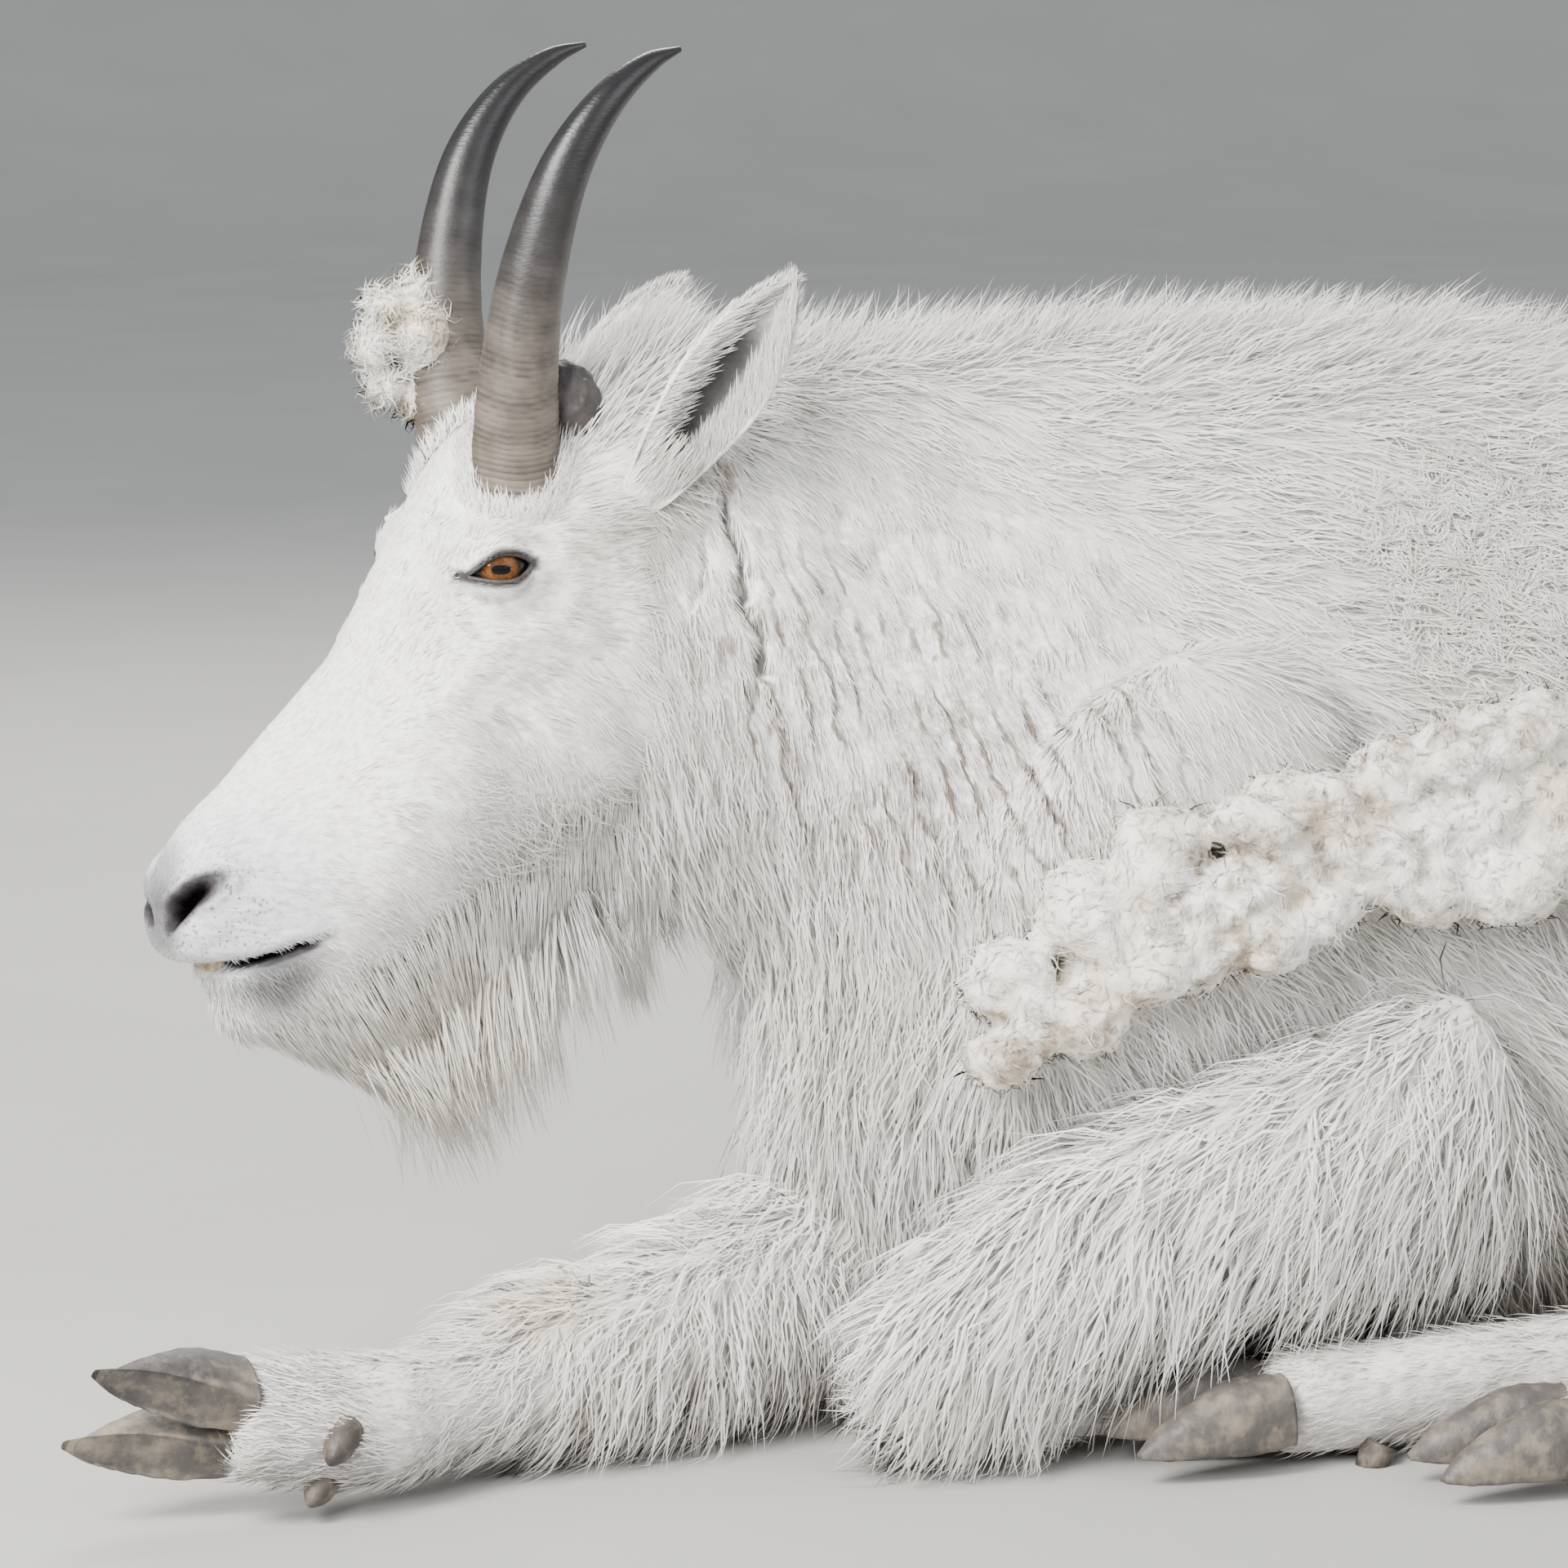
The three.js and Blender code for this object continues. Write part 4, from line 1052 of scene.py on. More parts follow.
def coat_density(points, normals):
    """Tufts per square centimetre: most on the face, more on the left, none pressed to the floor."""
    length = coat_field(points, normals)[4]
    cover = np.interp(length, [3, 5, 8, 14, 24, 40, 62], [110, 100, 80, 46, 26, 16, 11])
    cover = cover * np.where(points[:, 1] < 20, 1.2, 0.7)
    return cover * (1 - smooth(14, 4, points[:, 2]) * smooth(-0.5, -0.9, normals[:, 2]))


def clump_values(points, size, rng, count):
    """For each point, random values shared by all points of its clump."""
    jitter = np.column_stack([waves(points, size * 3.3, SEED + k) for k in range(3)]) * size * 0.5
    cell = np.floor((points + jitter) / size).astype(np.int64)
    key = (cell[:, 0] * 73856093) ^ (cell[:, 1] * 19349663) ^ (cell[:, 2] * 83492791)
    _, inverse = np.unique(key, return_inverse=True)
    return rng.normal(0, 1, (inverse.max() + 1, count))[inverse]


def cheek_curls(points, region):
    """How far the hair is curled into small locks, most below the cheek."""
    f, _, u = head_place(points)
    return smooth(1.0, 0.45, np.hypot((f + 14) / 52, (u + 118) / 52)) * (region == HEAD)


def in_crease(root, reach):
    """How far each tuft lies in a crease of the neck, at its root, middle or tip."""
    sunk = np.zeros(len(root))
    for share in (0.0, 0.25, 0.5, 0.75, 1.0):
        place = root + reach * share
        sunk = np.maximum(sunk, 0.92 * neck_ridges(place))
        sunk = np.maximum(sunk, smooth(2.6, 0.2, crease_distance(place)))
    return sunk


def coat_pieces(region, root, length):
    """Which roots belong to each piece of the coat."""
    face = head_place(root)[0] > 62
    head, trunk = region == HEAD, region == TRUNK
    fore = ~head & ~trunk & (region <= LAST_FORELEG)
    hind = ~head & ~trunk & ~fore
    long_ = length >= 20
    x, left = root[:, 0], root[:, 1] < 10
    pieces = {"coat_face": head & face, "coat_head": head & ~face}
    for place, here in (("neck", x < -100), ("front", (x >= -100) & (x < 200)), ("rear", x >= 200)):
        pieces[f"coat_{place}_left"] = trunk & here & left
        pieces[f"coat_{place}_right"] = trunk & here & ~left
    pieces["coat_forelegs"] = fore & long_
    pieces["coat_hindlegs"] = hind & long_
    pieces["coat_shanks"] = (fore | hind) & ~long_
    return pieces


def styled(root, normal, region, lie, length, lift, rng):
    """The hair's direction, length and lift varied in clumps and from tuft to tuft."""
    count = len(root)
    clump = clump_values(root, 11.0, rng, 4)
    wide = clump_values(root, 30.0, rng, 2)
    neck = (region == TRUNK) * neck_share(root)
    curls = cheek_curls(root, region)
    long_ = smooth(8, 34, length)
    lie = lie + (ridge_direction(root) - lie) * (0.9 * neck)[:, None]
    turn = (0.14 + 0.08 * long_) * clump[:, 0] + 0.1 * long_ * wide[:, 0] + 0.25 * long_ * waves(root, 90, 3)
    turn = turn * (1 - 0.7 * neck)
    turn = turn + (0.1 - 0.04 * neck + 0.25 * curls) * rng.normal(0, 1, count) + 0.5 * curls * clump[:, 1]
    lie = lie + unit(np.cross(normal, lie)) * turn[:, None]
    length = length * (1 + 0.14 * clump[:, 1] + 0.14 * rng.normal(0, 1, count)).clip(0.5, 1.6)
    lift = lift * (1 + 0.3 * clump[:, 2] + 0.2 * wide[:, 0]).clip(0.3, 2.2) + 0.03 * rng.random(count)
    lift = lift + neck * 0.05 * np.cos(neck_phase(root)) + 0.14 * curls
    shade = (0.55 + 0.13 * clump[:, 3] + 0.08 * wide[:, 1] + 0.12 * rng.normal(0, 1, count)).clip(0.14, 1)
    sunk = in_crease(root, unit(lie) * length[:, None])
    # Painted shade: tufts in the neck's creases and among the cheek's curls are darkened, and those on the
    # sides of the neck are a little darker too
    shade = shade * (1 - 0.22 * neck - 0.3 * curls) * (1 - 0.9 * sunk)
    return lie, length * (1 - 0.3 * sunk), lift * (1 - 0.3 * sunk), shade, curls, long_


def build_coat(skin, material):
    """The coat in pieces, each an undercoat of short tufts under longer guard hair."""
    rng = np.random.default_rng(SEED)
    bald = np.maximum(mask_array(skin.data, "bare"), mask_array(skin.data, "deep"))
    root, normal = surface_samples(skin.data, coat_density, rng, bald)
    region, t, angle, lie, length, lift = coat_field(root, normal)
    uv = unwrapped(region, t, angle)
    lie, length, lift, shade, curls, long_ = styled(root, normal, region, lie, length, lift, rng)
    for name, here in coat_pieces(region, root, length).items():
        index = rng.permutation(np.flatnonzero(here))
        bends = 3 if float(np.mean(length[index])) > 30 else 2
        under, guard = COAT_LIMITS[name]
        split = min(len(index), under // len(tuft_faces(1)))
        end = split + min(len(index) - split, guard // len(tuft_faces(bends)))
        for layer, pick, spans in (("under", index[:split], 1), ("guard", index[split:end], bends)):
            if len(pick) == 0:
                continue
            reach, widths, rise = LAYERS[layer]
            width = np.interp(length[pick], HAIR_LENGTHS, widths) * rng.uniform(0.7, 1.3, len(pick))
            verts = tuft_arrays(
                root[pick], normal[pick], lie[pick], length[pick] * reach, width, lift[pick] * rise, spans, rng,
                curl=0.1 + 0.13 * float(np.mean(long_[pick])) + 0.25 * curls[pick],
                pull=0.45 * smooth(24, 60, length[pick])[:, None] * DOWN,
            )
            verts[..., 2] = np.maximum(verts[..., 2], 0.6)
            tuft_object(f"{name}_{layer}", verts, uv[pick], shade[pick], material, normal[pick])


def build_crest(skin, material):
    """Thin hairs that stand up along the ridge of neck and withers."""
    rng = np.random.default_rng(91)

    def density(points, normals):
        x, y, z = points.T
        away = np.abs(y - np.interp(x, *BACK_LINE))
        return 17 * smooth(19, 8, away) * (z > 455) * smooth(-258, -240, x) * smooth(330, 180, x)

    root, normal = surface_samples(skin.data, density, rng)
    count = len(root)
    lie = np.array([0.8, 0, 0.1]) + 0.35 * rng.normal(0, 1, (count, 3))
    length, width, lift = (rng.uniform(*span, count) for span in ((19, 33), (0.5, 0.85), (0.5, 1.0)))
    verts = tuft_arrays(root, normal, lie, length, width, lift, 2, rng, pull=UP * 0.7)
    shade = (0.7 + 0.12 * rng.normal(0, 1, count)).clip(0.2, 1)
    tuft_object("coat_crest", verts, root_patch(root), shade, material, normal)


def build_horn_fringe(skin, material):
    """Short tufts that stand up round the base of each horn."""
    rng = np.random.default_rng(93)
    for side, name in SIDES:
        line = np.array([head_point(f, side * y, h) for f, y, h, _ in HORN_LINE[:3]])
        axis = unit(line[2] - line[0])

        def density(points, normals):
            d, _ = path_distance(points, line)
            return 42 * smooth(31, 25, d) * smooth(17, 20, d)

        root, normal = surface_samples(skin.data, density, rng)
        out = unit(root - line[0] - ((root - line[0]) @ axis)[:, None] * axis)
        count = len(root)
        lie = axis + 0.2 * rng.normal(0, 1, (count, 3))
        length, width, lift = (rng.uniform(*span, count) for span in ((7, 13), (0.6, 1.0), (0.05, 0.3)))
        verts = tuft_arrays(root + axis * 2, out, lie, length, width, lift, 2, rng, curl=0.2)
        shade = (0.55 + 0.15 * rng.normal(0, 1, count)).clip(0.1, 1)
        tuft_object(f"coat_horn_base_{name}", verts, root_patch(root), shade, material, unit(out + normal))


# Materials


BLACK = (0, 0, 0)
FULL = (1, 1, 1)


def node_material(name):
    material = bpy.data.materials.new(name)
    material.use_nodes = True
    tree = material.node_tree
    return material, tree, tree.nodes["Principled BSDF"]


def finished(material, tree, shader, colour, **values):
    """The material with its colour linked and its plain numbers set on the shader."""
    tree.links.new(colour, shader.inputs["Base Color"])
    for name, value in values.items():
        shader.inputs[name.replace("_", " ")].default_value = value
    return material


def add(tree, kind, **values):
    """A node with its sockets, or else its settings, set by name."""
    node = tree.nodes.new(kind)
    for key, value in values.items():
        if key.replace("_", " ") in node.inputs:
            node.inputs[key.replace("_", " ")].default_value = value
        else:
            setattr(node, key, value)
    return node


def noise(tree, scale, detail=4.0, roughness=0.55, stretch=(1, 1, 1)):
    place = add(tree, "ShaderNodeTexCoord")
    mapping = add(tree, "ShaderNodeMapping", Scale=stretch)
    texture = add(tree, "ShaderNodeTexNoise", Scale=scale, Detail=detail, Roughness=roughness)
    tree.links.new(place.outputs["Object"], mapping.inputs["Vector"])
    tree.links.new(mapping.outputs[0], texture.inputs["Vector"])
    return texture.outputs["Fac"]


def ramp(tree, source, stops):
    node = add(tree, "ShaderNodeValToRGB")
    elements = node.color_ramp.elements
    while len(elements) < len(stops):
        elements.new(0.5)
    for element, (place, colour) in zip(elements, stops):
        element.position = place
        element.color = (*colour, 1)
    tree.links.new(source, node.inputs["Fac"])
    return node.outputs["Color"]


def feed(tree, socket, value):
    """Links or sets one socket."""
    if isinstance(value, bpy.types.NodeSocket):
        tree.links.new(value, socket)
    elif isinstance(value, (int, float)):
        socket.default_value = value
    else:
        socket.default_value = (*value, 1)


def mix(tree, amount, a, b, blend="MIX"):
    node = add(tree, "ShaderNodeMix", data_type="RGBA", blend_type=blend)
    for index, value in ((0, amount), (6, a), (7, b)):
        feed(tree, node.inputs[index], value)
    return node.outputs[2]


def tinted(tree, colour, tint):
    """The colour multiplied by another."""
    return mix(tree, 1.0, colour, tint, "MULTIPLY")


def math_node(tree, operation, *values, clamp=False):
    node = add(tree, "ShaderNodeMath", operation=operation, use_clamp=clamp)
    for index, value in enumerate(values):
        feed(tree, node.inputs[index], value)
    return node.outputs[0]


def times(tree, *values):
    """The product of the values."""
    product = values[0]
    for value in values[1:]:
        product = math_node(tree, "MULTIPLY", product, value)
    return product


def tones(tree, grain, *stops):
    """A ramp of colours over a noise, given as its scale, detail, roughness and stretch."""
    return ramp(tree, noise(tree, *grain), stops)


def spots(tree, grain, low, high):
    """A mask from a noise: 0 below low, 1 above high."""
    return tones(tree, grain, (low, BLACK), (high, FULL))


def sloped(tree, source, low, high):
    """A mask from a value: 0 at low, 1 at high."""
    node = add(tree, "ShaderNodeMapRange", From_Min=low, From_Max=high)
    tree.links.new(source, node.inputs["Value"])
    return node.outputs[0]


def attribute(tree, name):
    node = add(tree, "ShaderNodeAttribute", attribute_name=name)
    return node.outputs["Fac"]


def bump(tree, shader, height, strength, distance):
    node = add(tree, "ShaderNodeBump", Strength=strength, Distance=distance)
    tree.links.new(height, node.inputs["Height"])
    tree.links.new(node.outputs[0], shader.inputs["Normal"])


WHITE = (0.94, 0.925, 0.895)
CREAM = (0.85, 0.76, 0.60)
DUST = (0.50, 0.41, 0.32)
TEMPLE = (0.52, 0.47, 0.42)
# Bluish grey of the muzzle: partly dark skin under short fur, partly painted shade
MUZZLE_SKIN_AND_SHADE = (0.62, 0.645, 0.69)
SPECKLE = (0.07, 0.065, 0.07)
LIP = (0.13, 0.12, 0.125)
# Painted shade at the bottom of the neck's creases
CREASE_SHADE = (0.22, 0.17, 0.14)
# Brown of the fine speckles on the sides of the neck
NECK_SPECKLE = (0.55, 0.48, 0.42)

# Cream patches: place, radius, strength
CREAM_SPOTS = [
    (tuple(head_point(0, 0, -235)), 95, 0.45),
    ((140, -150, 395), 95, 0.6),
    ((-315, -85, 88), 48, 0.75),
    ((-150, -60, 190), 70, 0.35),
]

# Soiled places of the hind leg: place, radius
SOIL_SPOTS = [((250, -320, 50), 120), ((330, -250, 60), 90)]

# Creased places on both sides of the neck, where shade is painted into the creases: along X, outward, height,
# radius
CREASED = [(-165, 95, 345, 100), (-85, 115, 310, 100)]

# Colours on both sides of the face: place in the head frame, radius, inner share, strength, colour, pattern
FACE_COLOURS = [
    ((-48, 58, -10), 60, 0.3, 0.8, TEMPLE, "mottle"),
    ((-78, 62, 34), 44, 0.3, 0.65, TEMPLE, "mottle"),
    ((34, 46, -14), 30, 0.3, 0.5, TEMPLE, "mottle"),
    ((-20, 55, -66), 44, 0.3, 0.35, TEMPLE, "mottle"),
    # The muzzle's bluish grey, partly painted shade
    ((118, 30, -150), 66, 0.2, 0.75, MUZZLE_SKIN_AND_SHADE, "even"),
    ((98, 30, -184), 24, 0.3, 0.7, LIP, "even"),
    ((152, 8, -156), 24, 0.4, 0.6, LIP, "even"),
    ((132, 28, -152), 44, 0.4, 0.75, SPECKLE, "dots"),
]


def near_place(tree, place, radius, inner=0.3):
    """1 at a place given in millimetres, falling to 0 at the radius."""
    spot = add(tree, "ShaderNodeTexCoord")
    gap = add(tree, "ShaderNodeVectorMath", operation="DISTANCE")
    tree.links.new(spot.outputs["Object"], gap.inputs[0])
    gap.inputs[1].default_value = tuple(np.asarray(place) * MM)
    fall = add(tree, "ShaderNodeMapRange", interpolation_type="SMOOTHSTEP")
    fall.inputs["From Min"].default_value = radius * MM
    fall.inputs["From Max"].default_value = radius * inner * MM
    tree.links.new(gap.outputs["Value"], fall.inputs["Value"])
    return fall.outputs[0]


def neck_creases(tree, x, z, colour):
    """Painted shade in thin dark streaks along the creases, and fine brown speckles, in the matted wool on the
    sides of the neck.
    """
    slanted = add(tree, "ShaderNodeCombineXYZ")
    feed(tree, slanted.inputs[0], math_node(tree, "ADD", x, times(tree, z, 0.25)))
    feed(tree, slanted.inputs[2], z)
    bands = add(
        tree, "ShaderNodeTexWave",
        Scale=25.0, Distortion=5.0, Detail=3.0, Detail_Scale=1.3, Detail_Roughness=0.6,
    )
    feed(tree, bands.inputs["Vector"], slanted.outputs[0])
    crease_shade = ramp(tree, bands.outputs["Fac"], [(0.02, FULL), (0.15, BLACK)])
    crease_shade = times(tree, crease_shade, spots(tree, (30.0, 3.0), 0.42, 0.52))
    speckles = spots(tree, (300.0, 3.0), 0.46, 0.62)
    for side in (-1, 1):
        for x_mid, out, z_mid, radius in CREASED:
            zone = near_place(tree, (x_mid, side * out, z_mid), radius, 0.5)
            colour = mix(tree, times(tree, zone, speckles, 0.34), colour, NECK_SPECKLE)
            # Painted shade along the creases
            colour = mix(tree, times(tree, zone, crease_shade, 0.85), colour, CREASE_SHADE)
    return colour


def coat_markings(tree):
    """White with cream patches, the same on skin and coat: old winter wool behind, dust below, painted shade in
    the neck's creases and partly on the muzzle.
    """
    place = add(tree, "ShaderNodeTexCoord")
    split = add(tree, "ShaderNodeSeparateXYZ")
    feed(tree, split.inputs[0], place.outputs["Object"])
    x, _, z = split.outputs
    rear = sloped(tree, x, 0.06, 0.26)
    patches = spots(tree, (7.0, 3.0), 0.35, 0.75)
    amount = times(tree, math_node(tree, "MULTIPLY_ADD", rear, 0.45, 0.08), patches)
    amount = math_node(tree, "ADD", amount, times(tree, rear, 0.15), clamp=True)
    for spot, radius, share in CREAM_SPOTS:
        amount = math_node(tree, "MAXIMUM", amount, times(tree, near_place(tree, spot, radius), share))
    colour = mix(tree, amount, WHITE, CREAM)
    mottle = spots(tree, (55.0, 4.0), 0.30, 0.60)
    patterns = {"mottle": mottle, "even": 1.0, "dots": spots(tree, (480.0, 1.0), 0.60, 0.70)}
    for side in (-1, 1):
        for (forward, out, up), radius, inner, share, tint, pattern in FACE_COLOURS:
            zone = near_place(tree, head_point(forward, side * out, up), radius, inner)
            colour = mix(tree, times(tree, zone, patterns[pattern], share), colour, tint)
    dirt = math_node(tree, "MULTIPLY", sloped(tree, z, 0.10, 0.0), noise(tree, 22.0, 5.0), clamp=True)
    colour = mix(tree, times(tree, dirt, 0.55), colour, DUST)
    for spot, radius in SOIL_SPOTS:
        colour = mix(tree, times(tree, near_place(tree, spot, radius), mottle, 0.4), colour, DUST)
    colour = neck_creases(tree, x, z, colour)
    return mix(tree, times(tree, spots(tree, (160.0, 2.0), 0.68, 0.74), 0.1), colour, DUST)


def hair_streaks(tree):
    """Fine hairs within each tuft: a noise drawn out along it."""
    place = add(tree, "ShaderNodeCombineXYZ")
    for index, (name, scale) in enumerate((("across", 2.2), ("along", 1.6), ("shade", 91.0))):
        feed(tree, place.inputs[index], times(tree, attribute(tree, name), scale))
    texture = add(tree, "ShaderNodeTexNoise", Scale=1.0, Detail=2.0, Roughness=0.6)
    feed(tree, texture.inputs["Vector"], place.outputs[0])
    return texture.outputs["Fac"]


# Tone of a tuft, from painted shade at the bottom of a crease to the lightest, and painted shade at its root
# that fades towards the tip
SHADES = [(0.0, (0.24, 0.20, 0.17)), (0.13, (0.74, 0.71, 0.67)), (0.45, (0.96, 0.955, 0.94)), (1.0, FULL)]
ROOT_SHADE = [(0.0, (0.86, 0.84, 0.81)), (0.5, FULL)]
STREAKS = [(0.3, (0.84, 0.82, 0.80)), (0.6, FULL)]


def coat_material(name, tint):
    """The coat's markings, with painted shade towards the root and in creases."""
    material, tree, shader = node_material(name)
    streaks = hair_streaks(tree)
    colour = tinted(tree, coat_markings(tree), tint)
    colour = tinted(tree, colour, ramp(tree, attribute(tree, "shade"), SHADES))
    colour = tinted(tree, colour, ramp(tree, attribute(tree, "along"), ROOT_SHADE))
    colour = tinted(tree, colour, ramp(tree, streaks, STREAKS))
    bump(tree, shader, streaks, 0.35, 0.001)
    return finished(
        material, tree, shader, colour,
        Roughness=0.7, Specular_IOR_Level=0.25, Sheen_Weight=0.25, Sheen_Roughness=0.5,
    )


def skin_material():
    """The skin: the coat's markings with short hair, painted shade under long coat and in hollows, and bare
    dark skin at nose, lips and lids.
    """
    material, tree, shader = node_material("goat_skin")
    hairs = noise(tree, 620.0, 3.0, 0.6, (0.22, 1, 0.6))
    colour = tinted(tree, coat_markings(tree), ramp(tree, hairs, [(0.34, (0.72, 0.70, 0.68)), (0.6, FULL)]))
    # Painted shade: the skin darkens where long coat lies over it
    colour = mix(tree, times(tree, attribute(tree, "cover"), 0.6), colour, (0.58, 0.54, 0.49))
    dark = tones(tree, (160.0, 4.0), (0.3, (0.022, 0.019, 0.02)), (0.7, (0.065, 0.058, 0.06)))
    colour = mix(tree, attribute(tree, "bare"), colour, dark)
    # Painted shade: near black in the hollows of mouth, nostrils, neck creases and ear cups
    colour = mix(tree, attribute(tree, "deep"), colour, (0.002, 0.0015, 0.0015))
    gloss = math_node(tree, "MULTIPLY_ADD", attribute(tree, "deep"), -0.3, 0.3)
    feed(tree, shader.inputs["Specular IOR Level"], gloss)
    rough = math_node(tree, "MULTIPLY_ADD", attribute(tree, "bare"), -0.42, 0.8)
    feed(tree, shader.inputs["Roughness"], rough)
    bump(tree, shader, hairs, 0.45, 0.001)
    return finished(material, tree, shader, colour)


# Horns, glands, eyes, ears and feet


def tube(path, radius, sides=8):
    """A closed ring of tube along a closed path."""
    along = unit(np.roll(path, -1, 0) - np.roll(path, 1, 0))
    out = unit(path - path.mean(0))
    out = unit(out - (out * along).sum(1, keepdims=True) * along)
    side = np.cross(along, out)
    angle = (2 * math.pi * np.arange(sides) / sides)[None, :, None]
    rings = path[:, None] + radius * (np.cos(angle) * out[:, None] + np.sin(angle) * side[:, None])
    faces = []
    for r in range(len(path)):
        after = (r + 1) % len(path)
        for i in range(sides):
            j = (i + 1) % sides
            faces.append((r * sides + i, r * sides + j, after * sides + j, after * sides + i))
    return rings.reshape(-1, 3), faces


HORN_RINGS, HORN_SIDES = 290, 32


def build_horn(side, name, material):
    """A horn with growth rings that fade towards its smooth tip."""
    stations = [[*head_point(f, side * y, h), half * 0.86, half] for f, y, h, half in HORN_LINE]
    centres, _, across, top, half = limb_frames(stations, HEAD_FORWARD, HORN_RINGS)
    t = np.linspace(0, 1, HORN_RINGS)
    reach = np.concatenate([[0], np.cumsum(np.linalg.norm(np.diff(centres, axis=0), axis=1))])
    angle = 2 * math.pi * np.arange(HORN_SIDES) / HORN_SIDES
    phase = reach[:, None] + 0.8 * np.sin(angle * 2 + side)[None] + 0.5 * np.sin(3 * angle + 1)[None]
    rings = np.abs(np.sin(phase * math.pi / 3.1)) ** 0.5 + 0.3 * np.sin(phase * math.pi / 8.3 + 1)
    fine = 0.2 * np.sin(phase * 2 * math.pi / 1.1)
    grow = (rings - 0.9 + fine) * 0.5 * smooth(0.6, 0.2, t)[:, None] - 0.25
    wide = ((half[:, :1] + grow) * np.cos(angle))[..., None] * across[:, None]
    high = ((half[:, 1:] + grow) * np.sin(angle))[..., None] * top[:, None]
    form = loft(centres[:, None] + wide + high)
    obj = dressed(f"horn_{name}_keratin", form, material, "horn", f"horn_{name}")
    # Mask for painted highlights on the growth rings and painted shade between them
    ridge = (rings + fine) * smooth(0.66, 0.25, t)[:, None]
    set_mask(obj.data, "along", [*np.repeat(t, HORN_SIDES), 0, 1])
    set_mask(obj.data, "ridge", [*ridge.ravel(), 0, 0])


HORN_COLOURS = [
    (0.0, (0.15, 0.128, 0.105)),
    (0.3, (0.10, 0.087, 0.075)),
    (0.46, (0.035, 0.033, 0.033)),
    (0.62, (0.012, 0.012, 0.013)),
]


def horn_material():
    """Brown and dull at the base, black and polished at the tip, with painted highlights on the growth rings
    and painted shade between them.
    """
    material, tree, shader = node_material("horn_keratin")
    along = attribute(tree, "along")
    grime = tones(tree, (70.0, 5.0), (0.35, (0.62, 0.58, 0.55)), (0.7, (1.15, 1.12, 1.1)))
    # Painted light: the growth rings lighter on their crests and darker between
    ridge = ramp(tree, attribute(tree, "ridge"), [(0.1, (0.6, 0.58, 0.56)), (0.9, (1.2, 1.18, 1.15))])
    colour = tinted(tree, tinted(tree, ramp(tree, along, HORN_COLOURS), grime), ridge)
    rough = ramp(tree, along, [(0.2, (0.55, 0.55, 0.55)), (0.7, (0.3, 0.3, 0.3))])
    feed(tree, shader.inputs["Roughness"], rough)
    bump(tree, shader, noise(tree, 260.0, 4.0, 0.6, (1, 1, 3)), 0.25, 0.001)
    return finished(material, tree, shader, colour)


def dark_skin_material():
    """Bare black skin of glands and lids."""
    material, tree, shader = node_material("dark_skin")
    colour = tones(tree, (120.0, 5.0), (0.3, (0.02, 0.017, 0.016)), (0.7, (0.07, 0.058, 0.052)))
    bump(tree, shader, noise(tree, 260.0, 4.0), 0.6, 0.002)
    return finished(material, tree, shader, colour, Roughness=0.55)


def build_gland(side, name, material):
    """The lumpy gland behind a horn."""
    verts, faces = head_blob(-46, side * 27, 70, (16, 13, 22), -0.3, 0.5, 48)
    lumps = waves(verts, 9, 21) * 0.9 + waves(verts, 4, 22) * 0.4 - 0.5
    verts = verts + unit(verts - verts.mean(0)) * lumps[:, None]
    dressed(f"gland_{name}_skin", (verts, faces), material, "gland_skin", f"gland_{name}")


def eye_axes(side):
    """Gaze, forward and up directions of an eye that looks out and a little ahead."""
    turn = math.radians(12)
    gaze = unit(HEAD_LEFT * side * math.cos(turn) + HEAD_FORWARD * math.sin(turn) + UP * 0.02)
    ahead = unit(HEAD_FORWARD - gaze * (HEAD_FORWARD @ gaze))
    return gaze, ahead, unit(np.cross(gaze, ahead) * side)


IRIS = [
    (0.0, (0.045, 0.020, 0.008)),
    (0.46, (0.13, 0.052, 0.016)),
    (0.64, (0.10, 0.040, 0.012)),
    (0.80, (0.012, 0.008, 0.006)),
    (1.0, (0.008, 0.006, 0.005)),
]
IRIS_RADIUS = 11.5
PUPIL_HALF = (4.6, 2.2)


def eye_material(side, name):
    """Amber iris with a dark level pupil, placed by distances from the line of sight."""
    material, tree, shader = node_material(f"eye_{name}")
    _, ahead, up = eye_axes(side)
    place = add(tree, "ShaderNodeTexCoord")
    offset = add(tree, "ShaderNodeVectorMath", operation="SUBTRACT")
    offset.inputs[1].default_value = tuple(head_point(0, side * EYE_SIDE, 0) * MM)
    feed(tree, offset.inputs[0], place.outputs["Object"])
    squares, corners = [], []
    for direction, half in zip((ahead, up), PUPIL_HALF):
        dot = add(tree, "ShaderNodeVectorMath", operation="DOT_PRODUCT")
        feed(tree, dot.inputs[0], offset.outputs[0])
        dot.inputs[1].default_value = tuple(direction / MM)
        away = dot.outputs["Value"]
        squares.append(times(tree, away, away))
        share = math_node(tree, "ABSOLUTE", math_node(tree, "DIVIDE", away, half))
        corners.append(math_node(tree, "POWER", share, 3.0))
    radius = math_node(tree, "SQRT", math_node(tree, "ADD", *squares))
    iris = ramp(tree, math_node(tree, "DIVIDE", radius, IRIS_RADIUS), IRIS)
    iris = tinted(tree, iris, tones(tree, (900.0, 3.0), (0.3, (0.45, 0.4, 0.35)), (0.7, (1.4, 1.3, 1.15))))
    pupil = ramp(tree, math_node(tree, "ADD", *corners), [(0.75, FULL), (1.0, BLACK)])
    return finished(
        material, tree, shader, mix(tree, pupil, iris, (0.002, 0.002, 0.002)),
        Roughness=0.5, Specular_IOR_Level=0.05, Coat_Weight=0.6, Coat_IOR=1.35, Coat_Roughness=0.02,
    )


def lid_point(forward, up, side, radius=16.7):
    """A point in front of the eyeball, where lids and lashes lie."""
    out = np.sqrt(np.maximum(radius**2 - (forward * 0.96) ** 2 - up**2, 4.0))
    return head_point(forward, side * (EYE_SIDE + out), up)


